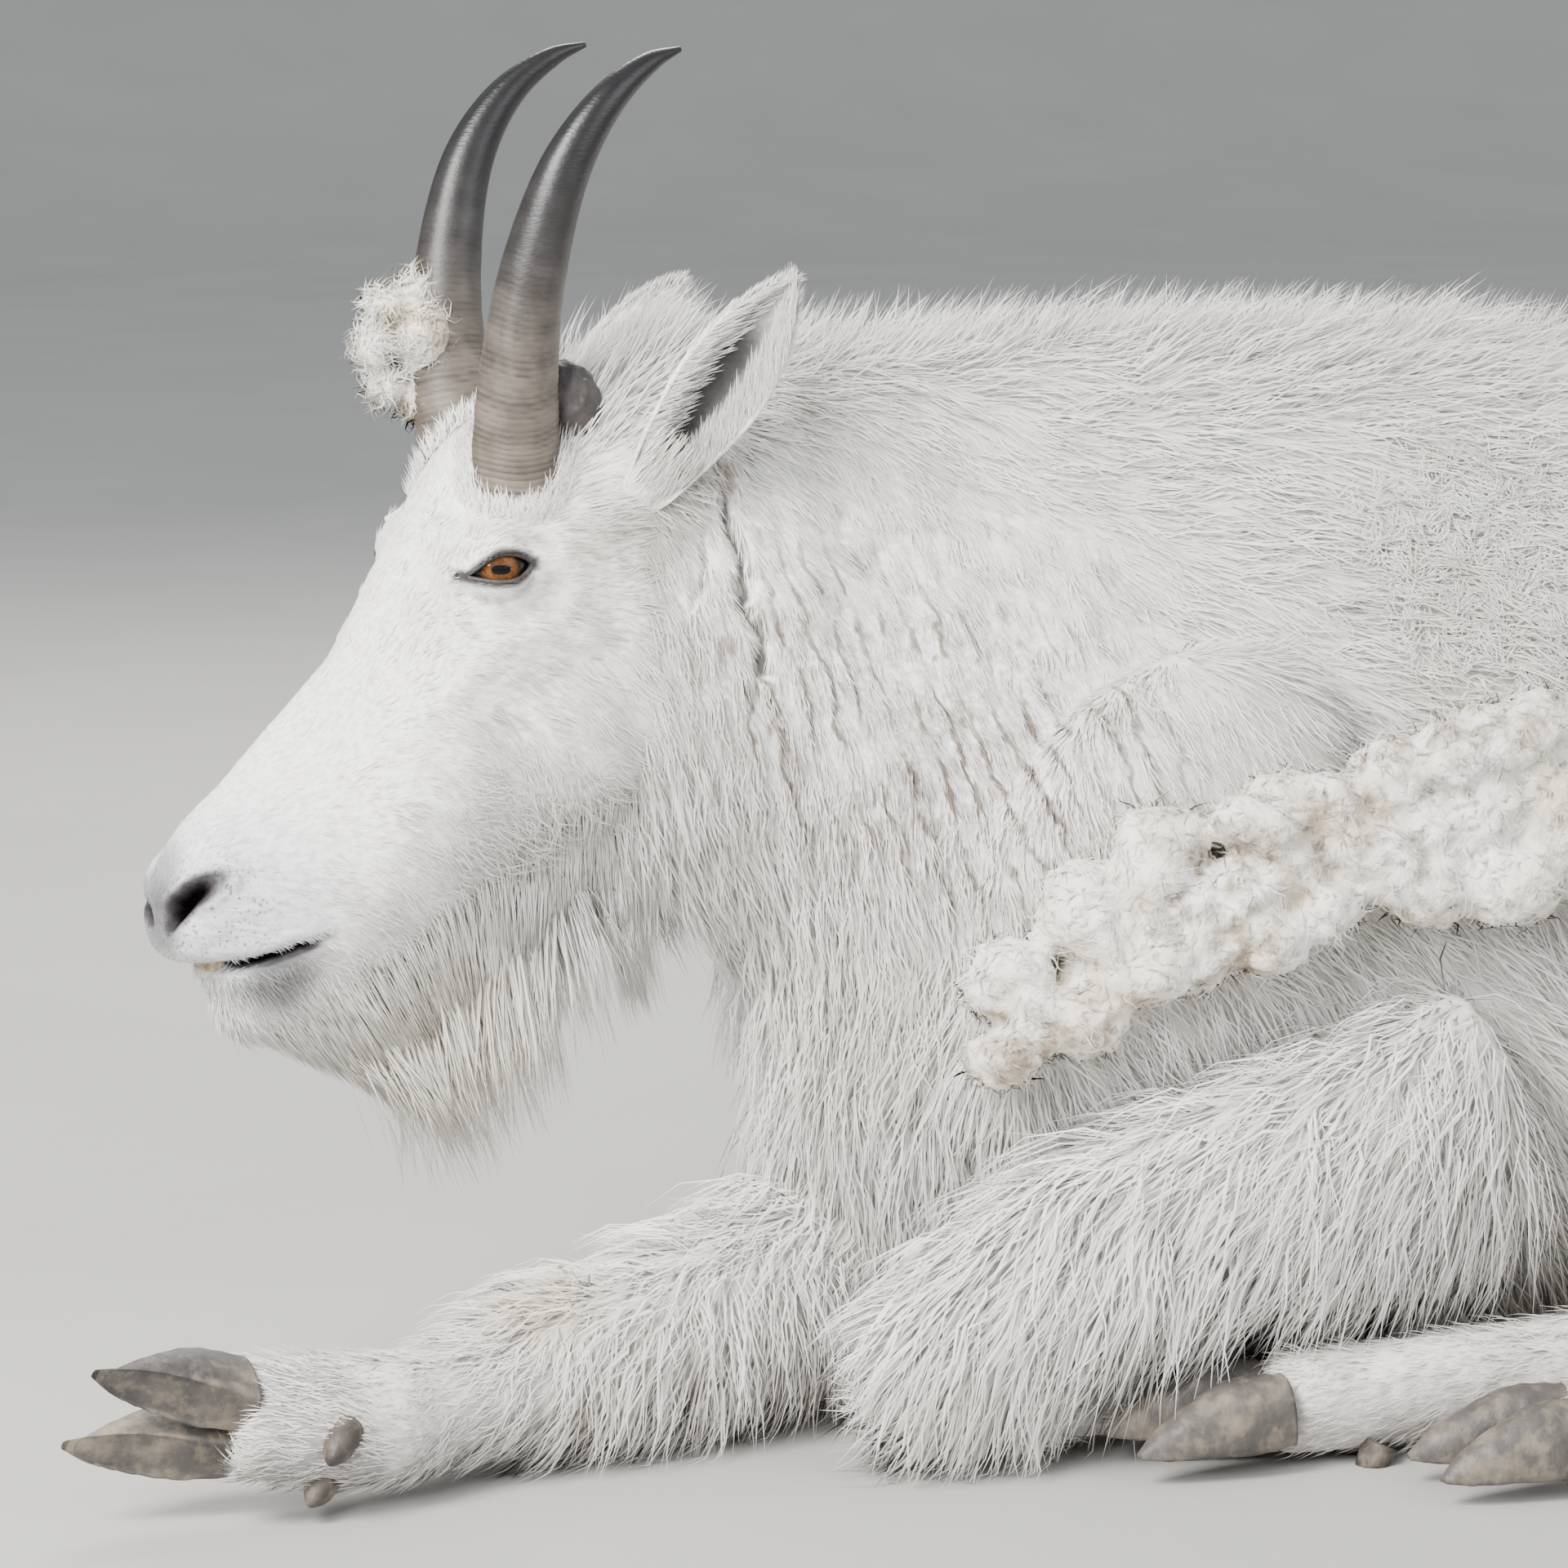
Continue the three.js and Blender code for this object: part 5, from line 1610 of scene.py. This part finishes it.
def build_eye(side, name, rim, lash):
    """Eyeball, the rim of the lids and the upper lashes."""
    ball = blob(head_point(0, side * EYE_SIDE, 0), [EYE_RADIUS + 0.2] * 3, detail=72)
    dressed(f"eye_{name}_ball", ball, eye_material(side, name), "eye", f"eye_{name}")
    f = np.linspace(15.9, -13.9, 26)
    back = f[::-1][1:-1]
    upper, lower = lid_point(f, lid_edge(f, True), side), lid_point(back, lid_edge(back, False), side)
    rim_line = np.vstack([upper, lower])
    dressed(f"lids_{name}", tube(rim_line, 1.0), rim, "gland_skin")
    rng = np.random.default_rng(31)
    count = 34
    f = np.linspace(12, -12, count) + rng.uniform(-0.4, 0.4, count)
    root = lid_point(f, lid_edge(f, True) + 0.4, side, 17.2)
    lie = HEAD_LEFT * side + UP * -0.15 + HEAD_FORWARD * (f / 40 - 0.35)[:, None]
    length, width, lift = rng.uniform(4, 7, count), np.full(count, 0.38), np.full(count, 0.25)
    normal = np.broadcast_to(UP, lie.shape)
    verts = tuft_arrays(root, normal, lie, length, width, lift, 2, rng, pull=UP * 0.1)
    uv, shade = np.full((count, 2), 0.5), rng.random(count)
    tuft_object(f"lashes_{name}", verts, uv, shade, lash, None, "gland_skin")


# Ear: share of its length, half width, half depth; the tip in the head frame of each side
EAR_WIDTHS = [
    [0, 12.5, 12],
    [0.2, 17.5, 14],
    [0.45, 21.5, 13],
    [0.7, 18.5, 9],
    [0.88, 10.5, 5.5],
    [1, 0.5, 2],
]
EAR_TIPS = {1: (-128, 88, 127), -1: (-150, 70, 118)}
EAR_RINGS, EAR_SIDES = 44, 20


def ear_stations(side):
    """Stations of an ear from a ring sunk in the head to the tip, where it faces and where it points."""
    forward, out, up = EAR_TIPS[side]
    base = head_point(-72, side * 56, 34)
    end = head_point(forward, side * out, up)
    facing = unit(head_point(20, side * 140, 30) - head_point(0, 0, 0))
    ahead = unit(end - base)
    stations = [[*(base - ahead * 17 - facing * 6), 5, 5]]
    for t, across, deep in EAR_WIDTHS:
        stations.append([*(base + (end - base) * t + facing * 6 * math.sin(math.pi * t)), across, deep])
    return stations, facing, ahead


def back_place(rng, number):
    turn = rng.uniform(0, math.pi, number)
    return np.cos(turn), -0.92 * np.sin(turn)


def rim_place(rng, number):
    x = 0.42 + 0.58 * rng.random(number) ** 0.6
    return x, np.where(x > 0.86, 0.05, 0.1 - 0.6 * (1 - x**2) ** 0.6)


def far_rim_place(rng, number):
    x, y = rim_place(rng, number)
    return -x, y


def front_place(rng, number):
    return rng.uniform(-0.85, 0.85, number), np.full(number, 0.3)


def edge_place(rng, number):
    return rng.choice([-0.98, 0.98], number), rng.uniform(-0.35, 0.05, number)


def back_heading(across, top, ahead, x):
    out = across * x - top * np.sqrt(np.maximum(1 - x**2, 0))
    return ahead + out * 0.05, out


def rim_heading(across, top, ahead, x):
    return ahead * 0.9 - across * (0.6 * np.sign(x)) + top * 0.12, top + across * (0.3 * np.sign(x))


def front_heading(across, top, ahead, x):
    return ahead - across * (0.25 * x) + top * 0.1, top + across * (0.5 * x)


def edge_heading(across, top, ahead, x):
    return ahead + across * (0.22 * np.sign(x)), across * np.sign(x) + top * 0.5


# Hair of an ear: number, share of its length, places, headings, hair lengths, lining or coat, soft normals
EAR_HAIR = [
    (1100, (0.12, 0.98), back_place, back_heading, (6, 10), "coat", False),
    (1000, (0.2, 0.93), rim_place, rim_heading, (9, 17), "coat", True),
    (1000, (0.2, 0.93), far_rim_place, rim_heading, (9, 15), "lining", True),
    (350, (0.02, 0.24), back_place, back_heading, (13, 20), "coat", False),
    (550, (0.02, 0.3), front_place, front_heading, (10, 16), "coat", True),
    (450, (0.1, 0.99), edge_place, edge_heading, (5, 9), "coat", True),
]


def ear_skin(side, name, frames, material):
    """The cupped ear itself, darkened deep in the cup with painted shade."""
    centres, _, across, top, half = frames
    t = np.linspace(0, 1, EAR_RINGS)[:, None]
    back = np.linspace(0, math.pi, EAR_SIDES)
    x = np.concatenate([np.cos(back), 0.9 * np.cos(back[::-1])])
    depth = half[:, 1:] * 0.92
    open_ = smooth(0.16, 0.32, t)
    cup = depth * (-0.78 * np.sin(back[::-1]) ** 0.8) * open_ + (1 - open_) * depth * 0.35 + 0.6 * open_
    y = np.hstack([depth * -np.sin(back), cup])
    points = centres[:, None] + (half[:, :1] * x)[..., None] * across[:, None] + y[..., None] * top[:, None]
    obj = dressed(f"ear_{name}_skin", loft(points), material, "coat", f"ear_{name}")
    # Painted shade deep in the cup, as dark bare skin and darker hollow
    inner = np.concatenate([np.zeros(EAR_SIDES), smooth(0.72, 0.98, np.sin(back + 0.12))])[None]
    dark = (inner * smooth(0.2, 0.34, t) * smooth(0.9, 0.6, t)).ravel()
    set_mask(obj.data, "bare", [*(0.9 * dark), 0, 0])
    set_mask(obj.data, "deep", [*(0.6 * dark), 0, 0])


def build_ear(side, name, skin_look, looks):
    """An ear with hair on its back, rims, front and edge."""
    stations, facing, ahead = ear_stations(side)
    frames = limb_frames(stations, facing, EAR_RINGS)
    ear_skin(side, name, frames, skin_look)
    rng = np.random.default_rng(41 + side)
    share = np.linspace(0, 1, EAR_RINGS)
    reach = frames[0][-1] - frames[0][0]
    for kind, (number, span, place, heading, lengths, look, soft) in enumerate(EAR_HAIR):
        at = rng.uniform(*span, number)
        centre, _, across, top, half = (
            np.column_stack([np.interp(at, share, column) for column in values.T]) for values in frames
        )
        x, y = place(rng, number)
        root = centre + across * (half[:, :1] * x[:, None]) + top * (half[:, 1:] * y[:, None])
        lie, normal = heading(across, top, ahead, x[:, None])
        normal = unit(normal)
        length = rng.uniform(*lengths, number)
        width, lift = rng.uniform(0.6, 1.1, number), rng.uniform(0.02, 0.12, number)
        verts = tuft_arrays(root, normal, lie, length, width, lift, 2, rng)
        up_share = np.clip((root - frames[0][0]) @ ahead / np.linalg.norm(reach), 0, 1)
        turn = np.arctan2((normal * facing).sum(1), (normal * frames[2][0]).sum(1)) / (2 * math.pi) + 0.5
        left, bottom, wide, high = UNWRAP[f"ear_{name}"]
        uv = np.column_stack([left + wide * turn, bottom + high * up_share])
        shade = (0.55 + 0.15 * rng.normal(0, 1, number)).clip(0, 1)
        tuft_object(f"coat_ear_{name}_{kind}", verts, uv, shade, looks[look], normal if soft else None)


# Claw from the heel: share of its length, half width, half depth, drop
CLAW_PROFILE = np.array([
    [0, 13, 19, 0],
    [0.3, 14, 21, -1],
    [0.6, 12, 16, -4],
    [0.85, 8, 10, -8],
    [1, 3, 4, -11],
])
CLAW_LENGTH = 72
DEWCLAW_PROFILE = [(0, 10), (0.5, 9), (0.8, 6), (1, 3)]


def claw_part(heel, forward, up, spread):
    """A claw with a flat sole, a sharp lower edge and faint growth rings."""
    side = unit(np.cross(forward, up))
    stations = []
    for t, across, deep, drop in CLAW_PROFILE:
        place = heel + forward * CLAW_LENGTH * t + side * spread * (1 + 0.5 * t) + up * drop
        stations.append([*place, across, deep])
    verts, faces = limb(stations, up, 0.2, 40, 16, 2.3)
    t = np.clip((verts - heel) @ forward / CLAW_LENGTH, 0, 1)
    height = (verts - heel) @ up
    sole = np.interp(t, CLAW_PROFILE[:, 0], CLAW_PROFILE[:, 3] - 0.66 * CLAW_PROFILE[:, 2])
    hollow = 1.5 * smooth(0.15, 0.5, t) * smooth(1, 0.7, t)
    lifted = np.where(height < sole, sole + hollow * smooth(0, 6, sole - height), height)
    ring = 0.22 * np.sin(t * 46 + 0.12 * height) * smooth(-12, 2, height)
    return verts + up * (lifted - height + ring)[:, None], faces


def dewclaw_part(base, direction, up):
    stations = [[*(base + direction * 22 * t), half, half * 0.8] for t, half in DEWCLAW_PROFILE]
    return limb(stations, up, 0.2, 20, 6)


FEET = {
    "fore_right": "fore_right",
    "fore_left": "fore_left_foot",
    "hind_left": "hind_left",
    "hind_right": "hind_right",
}


def build_feet(hoof, dew):
    """Two claws and two dewclaws at the end of each leg, none below the floor."""
    for prefix, leg in FEET.items():
        stations, up = LIMBS[leg]
        end, before = (np.array(stations[k][:3], float) for k in (-1, -2))
        forward = unit(end - before)
        side = unit(np.cross(forward, up))
        for letter, lean in (("a", 1), ("b", -1)):
            claw = claw_part(end, forward, up, 14.5 * lean)
            base = end - forward * 48 + side * 13 * lean - up * 20
            spur = dewclaw_part(base, unit(forward * 0.5 - up), forward)
            horns = [("claw", claw, hoof, "hoof"), ("dewclaw", spur, dew, "dewclaw")]
            for kind, (verts, faces), look, slot in horns:
                verts[:, 2] = np.maximum(verts[:, 2], 0.0)
                name = f"{prefix}_{kind}_{letter}"
                dressed(f"{name}_horn", (verts, faces), look, slot, name)


def hoof_material(name, low, mid, high):
    """Horn in three tones with dry soil on it."""
    material, tree, shader = node_material(name)
    tone = tones(tree, (32.0, 6.0, 0.62), (0.34, low), (0.52, mid), (0.68, high))
    soil = times(tree, spots(tree, (120.0, 5.0, 0.6), 0.5, 0.7), 0.45)
    bump(tree, shader, noise(tree, 190.0, 5.0, 0.6, (1, 1, 0.4)), 0.5, 0.0015)
    return finished(material, tree, shader, mix(tree, soil, tone, (0.30, 0.24, 0.17)), Roughness=0.55)


def plain_material(name, scale, detail, low, high, roughness):
    """Two tones blended by a noise."""
    material, tree, shader = node_material(name)
    return finished(material, tree, shader, tones(tree, (scale, detail), low, high), Roughness=roughness)


# Beard and shed wool

# Beard rows in the head frame: forward, height of the root, length, backward sweep
BEARD = [
    [-84, -146, 62, 0.0],
    [-66, -138, 88, 0.0],
    [-46, -142, 106, 0.0],
    [-16, -162, 110, 0.06],
    [4, -176, 112, 0.18],
    [18, -184, 106, 0.34],
    [38, -198, 92, 0.6],
    [64, -209, 60, 0.8],
    [90, -214, 24, 0.9],
    [98, -214, 16, 0.9],
]


def beard_at(forward):
    """Height of the root, length and sweep of the beard at places along the jaw."""
    places, *columns = np.array(BEARD, float).T
    return [np.interp(forward, places, column) for column in columns]


def build_beard(skin, material):
    """Long hanging hair along the lower edge of jaw and throat."""
    rng = np.random.default_rng(51)

    def density(points, normals):
        f, _, u = head_place(points)
        above = u - beard_at(f)[0]
        near = smooth(44, 12, above) * smooth(-30, -22, above) * smooth(0.3, -0.4, normals[:, 2])
        return 38 * near * smooth(-90, -80, f) * smooth(102, 90, f) * (1 + 0.6 * smooth(-25, -45, f))

    root, normal = surface_samples(skin.data, density, rng)
    f, l, u = head_place(root)
    height, length, sweep = beard_at(f)
    clump = clump_values(root, 10.0, rng, 4)
    count = len(root)
    length = length * (1 + 0.1 * clump[:, 0] + 0.09 * rng.normal(0, 1, count)).clip(0.55, 1.12)
    length *= (1 - 0.2 * smooth(8, 28, np.abs(l))) * (1 - 0.72 * smooth(2, 40, u - height))
    free = HEAD_LEFT * (-0.010 * l + 0.05 * clump[:, 2])[:, None] + DOWN
    free = free - HEAD_FORWARD * (sweep + 0.05 * clump[:, 1])[:, None]
    lie = HEAD_FORWARD * -0.4 - UP * 0.8 + np.zeros((count, 3))
    width = rng.uniform(0.9, 1.9, count) * (0.7 + 0.3 * smooth(20, 80, length))
    lift = np.full(count, 0.3)
    verts = tuft_arrays(root, normal, lie, length, width, lift, 3, rng, curl=0.16, pull=free * 2.4)
    shade = (0.62 + 0.12 * clump[:, 3] + 0.1 * rng.normal(0, 1, count)).clip(0, 1)
    tuft_object("beard_locks", verts, root_patch(root), shade, material)


# Patch of old matted wool on the upper flank: middle and half sizes along X and Z
OLD_WOOL = (168, 392, 92, 66)


def swirls(points, scale, seed):
    """Directions that turn smoothly from place to place."""
    return np.column_stack([waves(points, scale, seed + k) for k in range(3)])


def build_old_wool(skin, material):
    """A patch of matted curls that stands out of the coat."""
    rng = np.random.default_rng(81)

    def density(points, normals):
        mid_x, mid_z, half_x, half_z = OLD_WOOL
        x, y, z = points.T
        away = np.hypot((x - mid_x) / half_x, (z - mid_z) / half_z) + 0.16 * waves(points, 30, 82)
        return 20 * smooth(1.05, 0.6, away) * (y < -60)

    root, normal = surface_samples(skin.data, density, rng)
    count = len(root)
    lie = unit(swirls(root, 20, 83) + rng.normal(0, 0.3, (count, 3)) + [0.4, 0, -0.4])
    lift = (0.2 + 0.14 * waves(root, 12, 86)).clip(0.04, 0.5)
    length, width = rng.uniform(9, 17, count), rng.uniform(0.6, 1.2, count)
    verts = tuft_arrays(root + normal * 6, normal, lie, length, width, lift, 2, rng, curl=0.4)
    tuft_object("old_wool", verts, root_patch(root), rng.random(count), material, normal)


# Band of shed wool along the flank: places on its middle line, half height
FLEECE_BAND = [
    [-116, -150, 200, 22],
    [-84, -160, 226, 30],
    [-42, -168, 252, 33],
    [10, -174, 270, 34],
    [66, -178, 284, 36],
    [126, -182, 294, 38],
    [190, -186, 304, 40],
    [250, -186, 316, 40],
]
FLEECE_CLUMPS = 17
HORN_CLUMPS = 7

# Wool pieces: tufts per square centimetre, their lengths, corner on the unwrap, seed
WOOL_COVERS = {
    "fleece": (4.5, (9, 19), (0.81, 0.41), 64),
    "horn_wool": (24.0, (8, 17), (0.81, 0.21), 72),
}


def wool_cover(name, core, material):
    """Short curly tufts in all directions over a core of wool."""
    density, lengths, corner, seed = WOOL_COVERS[name]
    rng = np.random.default_rng(seed)
    root, normal = surface_samples(core.data, lambda places, _: np.full(len(places), density), rng)
    count = len(root)
    lie = unit(swirls(root, 22, seed) + rng.normal(0, 0.45, (count, 3)))
    length, width, lift = (rng.uniform(*span, count) for span in (lengths, (0.7, 1.7), (0.05, 0.35)))
    verts = tuft_arrays(root, normal, lie, length, width, lift, 3, rng, curl=0.65)
    low, high = root.min(0), root.max(0)
    uv = ((root - low) / (high - low))[:, [0, 2]] * 0.17 + corner
    tuft_object(f"{name}_wool", verts, uv, rng.random(count), material, normal, "shed_wool")


def build_fleece(core_look, wool_look):
    """The mat of shed wool: three rows of clumps along its band."""
    rng = np.random.default_rng(61)
    band = np.array(FLEECE_BAND, float)
    parts = []
    for t in np.linspace(0, 1, FLEECE_CLUMPS):
        centre = spline(band[:, :3], [t])[0]
        reach = np.interp(t, np.linspace(0, 1, len(band)), band[:, 3])
        for row in (-0.75, 0.0, 0.75):
            offset = [6 * rng.normal(), 3 * rng.normal() + 5 * row, row * reach * 0.95 + 4 * rng.normal()]
            radii = [reach * rng.uniform(0.5, 0.72), rng.uniform(17, 23), reach * rng.uniform(0.42, 0.6)]
            parts.append(blob(centre + offset, radii, rng.uniform(-0.4, 0.4, 3), 0, 16))
    core = remeshed("fleece_core", parts, 0.0036, 5, core_look)
    points = vertex_array(core.data)
    lumps = 1.8 * waves(points, 16, 62) + 1.0 * waves(points, 7, 63)
    set_vertices(core.data, points + vertex_array(core.data, "normal") * lumps[:, None])
    riding(core, "shed_wool", "fleece")
    wool_cover("fleece", core, wool_look)


def build_horn_wool(core_look, wool_look):
    """The ball of shed wool on the right horn: a ring of clumps round one in the middle."""
    rng = np.random.default_rng(71)
    parts = [head_blob(-4, -42, 98, (15, 18, 20), 0, 0, 16)]
    for i in range(HORN_CLUMPS):
        turn = 2 * math.pi * i / HORN_CLUMPS
        forward, up = 2 + 17 * math.cos(turn), 94 + 24 * math.sin(turn)
        parts.append(head_blob(forward, -45, up, rng.uniform(8, 12, 3) + [0, 3, 0], 0, 0, 14))
    core = remeshed("horn_wool_core", parts, 0.0025, 4, core_look)
    riding(core, "shed_wool", "wool_tuft")
    wool_cover("horn_wool", core, wool_look)


SOILED = [(0.30, (0.52, 0.42, 0.31)), (0.42, (0.82, 0.76, 0.65)), (0.62, (0.93, 0.91, 0.86))]
CLEAN = [(0.30, (0.80, 0.74, 0.65)), (0.42, (0.91, 0.88, 0.83)), (0.62, (0.94, 0.93, 0.90))]


def wool_material(name, streaked, colours=SOILED, dirt=1.0):
    """Cream wool with brown stains and dark specks."""
    material, tree, shader = node_material(name)
    stained, grime = spots(tree, (17.0, 6.0, 0.65), 0.46, 0.58), spots(tree, (95.0, 4.0), 0.40, 0.58)
    stain = times(tree, stained, grime, 0.85 * dirt)
    colour = mix(tree, stain, tones(tree, (26.0, 5.0, 0.6), *colours), (0.24, 0.17, 0.11))
    specks = times(tree, spots(tree, (130.0, 3.0), 0.60, 0.70), 0.6 * dirt)
    colour = mix(tree, specks, colour, (0.14, 0.09, 0.06))
    if streaked:
        streaks = hair_streaks(tree)
        colour = tinted(tree, colour, ramp(tree, streaks, [(0.3, (0.8, 0.78, 0.75)), (0.6, FULL)]))
        bump(tree, shader, streaks, 0.6, 0.0015)
    else:
        bump(tree, shader, noise(tree, 300.0, 5.0), 0.8, 0.002)
    return finished(material, tree, shader, colour, Roughness=0.8)


# Camera, floor and light

CAMERA_TARGET = Vector((-0.1845, -0.054, 0.3033))
CAMERA_FAR = 2.88
CAMERA_TURN = math.radians(-22)
CAMERA_LIFT = math.radians(8)
CAMERA_LENS = 144.0
SENSOR = 36.0

# Lights: name, place, target, size, power, colour
LIGHTS = [
    ("key", (-2.05, -1.35, 2.1), (-0.1, 0, 0.25), 1.2, 205, (1.0, 0.985, 0.96)),
    ("catch", (-1.77, -1.84, 1.09), (-0.325, -0.055, 0.409), 0.5, 42, (0.95, 0.98, 1.0)),
    ("side", (1.6, -2.6, 1.6), (0.1, 0, 0.25), 2.0, 35, (0.95, 0.97, 1.0)),
    ("rim", (0.8, 2.2, 2.4), (0, 0, 0.3), 1.6, 110, (1.0, 0.98, 0.95)),
]


# Floor in metres: half width, near edge, start and radius of the turn upwards, top of the backdrop
FLOOR_HALF, FLOOR_NEAR, FLOOR_TURN, TURN_RADIUS, BACKDROP_TOP = 12.0, -9.0, 9.0, 4.0, 9.0


def set_camera():
    """A camera at the distance, height and turn from which the photograph was taken."""
    data = bpy.data.cameras.new("camera")
    data.lens = CAMERA_LENS
    data.sensor_width = SENSOR
    camera = linked(bpy.data.objects.new("camera", data))
    level = math.cos(CAMERA_LIFT)
    away = Vector((math.sin(CAMERA_TURN) * level, -math.cos(CAMERA_TURN) * level, math.sin(CAMERA_LIFT)))
    camera.location = CAMERA_TARGET + away * CAMERA_FAR
    camera.rotation_euler = (-away).to_track_quat("-Z", "Y").to_euler()
    bpy.context.scene.camera = camera


def area_light(name, place, target, size, power, colour):
    data = bpy.data.lights.new(name, "AREA")
    data.size = size
    data.energy = power
    data.color = colour
    light = linked(bpy.data.objects.new(name, data))
    light.location = place
    light.rotation_euler = (Vector(target) - Vector(place)).to_track_quat("-Z", "Y").to_euler()


def set_stage():
    """A pale floor that turns up into a far backdrop, and soft lights."""
    line = [(FLOOR_NEAR, 0.0)]
    for turn in np.linspace(0, math.pi / 2, 13):
        line.append((FLOOR_TURN + TURN_RADIUS * math.sin(turn), TURN_RADIUS * (1 - math.cos(turn))))
    line.append((FLOOR_TURN + TURN_RADIUS, BACKDROP_TOP))
    verts = np.array([(x, y, z) for y, z in line for x in (-FLOOR_HALF, FLOOR_HALF)]) / MM
    faces = [(2 * k, 2 * k + 1, 2 * k + 3, 2 * k + 2) for k in range(len(line) - 1)]
    pale = plain_material("floor_pale", 3.0, 4.0, (0.3, (0.40, 0.39, 0.37)), (0.7, (0.43, 0.42, 0.40)), 0.9)
    mesh_object("floor", verts, faces, pale)
    for light in LIGHTS:
        area_light(*light)
    world = bpy.data.worlds.new("studio")
    bpy.context.scene.world = world
    world.use_nodes = True
    back = world.node_tree.nodes["Background"]
    back.inputs["Color"].default_value = (0.82, 0.86, 0.92, 1)
    back.inputs["Strength"].default_value = 1.0


# How the names of the nodes end that the skin replaces
FLESH_NODES = (
    "head", "neck", "torso_front", "torso_rear", "tail",
    "upper", "forearm", "cannon", "pastern", "thigh", "shank",
)

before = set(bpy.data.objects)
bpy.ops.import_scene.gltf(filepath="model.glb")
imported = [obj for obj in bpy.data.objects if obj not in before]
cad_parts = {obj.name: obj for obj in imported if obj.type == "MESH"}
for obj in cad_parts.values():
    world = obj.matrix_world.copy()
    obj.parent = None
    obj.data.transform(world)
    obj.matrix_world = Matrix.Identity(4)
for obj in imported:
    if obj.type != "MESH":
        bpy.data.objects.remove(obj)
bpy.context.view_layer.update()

skin_look = skin_material()
looks = {
    "coat": coat_material("goat_coat", FULL),
    # The ear's inner hair: the coat tinted grey as painted shade inside the ear
    "lining": coat_material("ear_lining_shaded", (0.66, 0.66, 0.68)),
}
coat_look = looks["coat"]
dark_look = dark_skin_material()
horn_look = horn_material()
lash_tones = (0.3, (0.015, 0.012, 0.01)), (0.7, (0.04, 0.033, 0.03))
lash_look = plain_material("lash_hair", 200.0, 2.0, *lash_tones, 0.5)
tooth_tones = (0.3, (0.30, 0.19, 0.09)), (0.65, (0.68, 0.56, 0.36))
tooth_look = plain_material("tooth_enamel", 150.0, 3.0, *tooth_tones, 0.35)
wool_core_look = wool_material("wool_felt", False)
wool_look = wool_material("wool_curls", True)
old_look = wool_material("old_wool", True, CLEAN, 0.3)

skin = build_skin(skin_look)
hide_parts(*[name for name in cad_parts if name.endswith(FLESH_NODES)])
build_coat(skin, coat_look)
build_crest(skin, coat_look)
build_horn_fringe(skin, coat_look)
build_beard(skin, coat_look)
for side, name in SIDES:
    build_horn(side, name, horn_look)
    build_gland(side, name, dark_look)
    build_eye(side, name, dark_look, lash_look)
    build_ear(side, name, skin_look, looks)
build_feet(
    hoof_material("hoof_horn", (0.035, 0.032, 0.032), (0.085, 0.075, 0.066), (0.24, 0.20, 0.15)),
    hoof_material("dewclaw_horn", (0.022, 0.018, 0.016), (0.05, 0.04, 0.034), (0.12, 0.095, 0.075)),
)
build_old_wool(skin, old_look)
build_fleece(wool_core_look, wool_look)
build_horn_wool(wool_core_look, wool_look)
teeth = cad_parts["teeth"]
teeth.data.materials.clear()
teeth.data.materials.append(tooth_look)
set_camera()
set_stage()
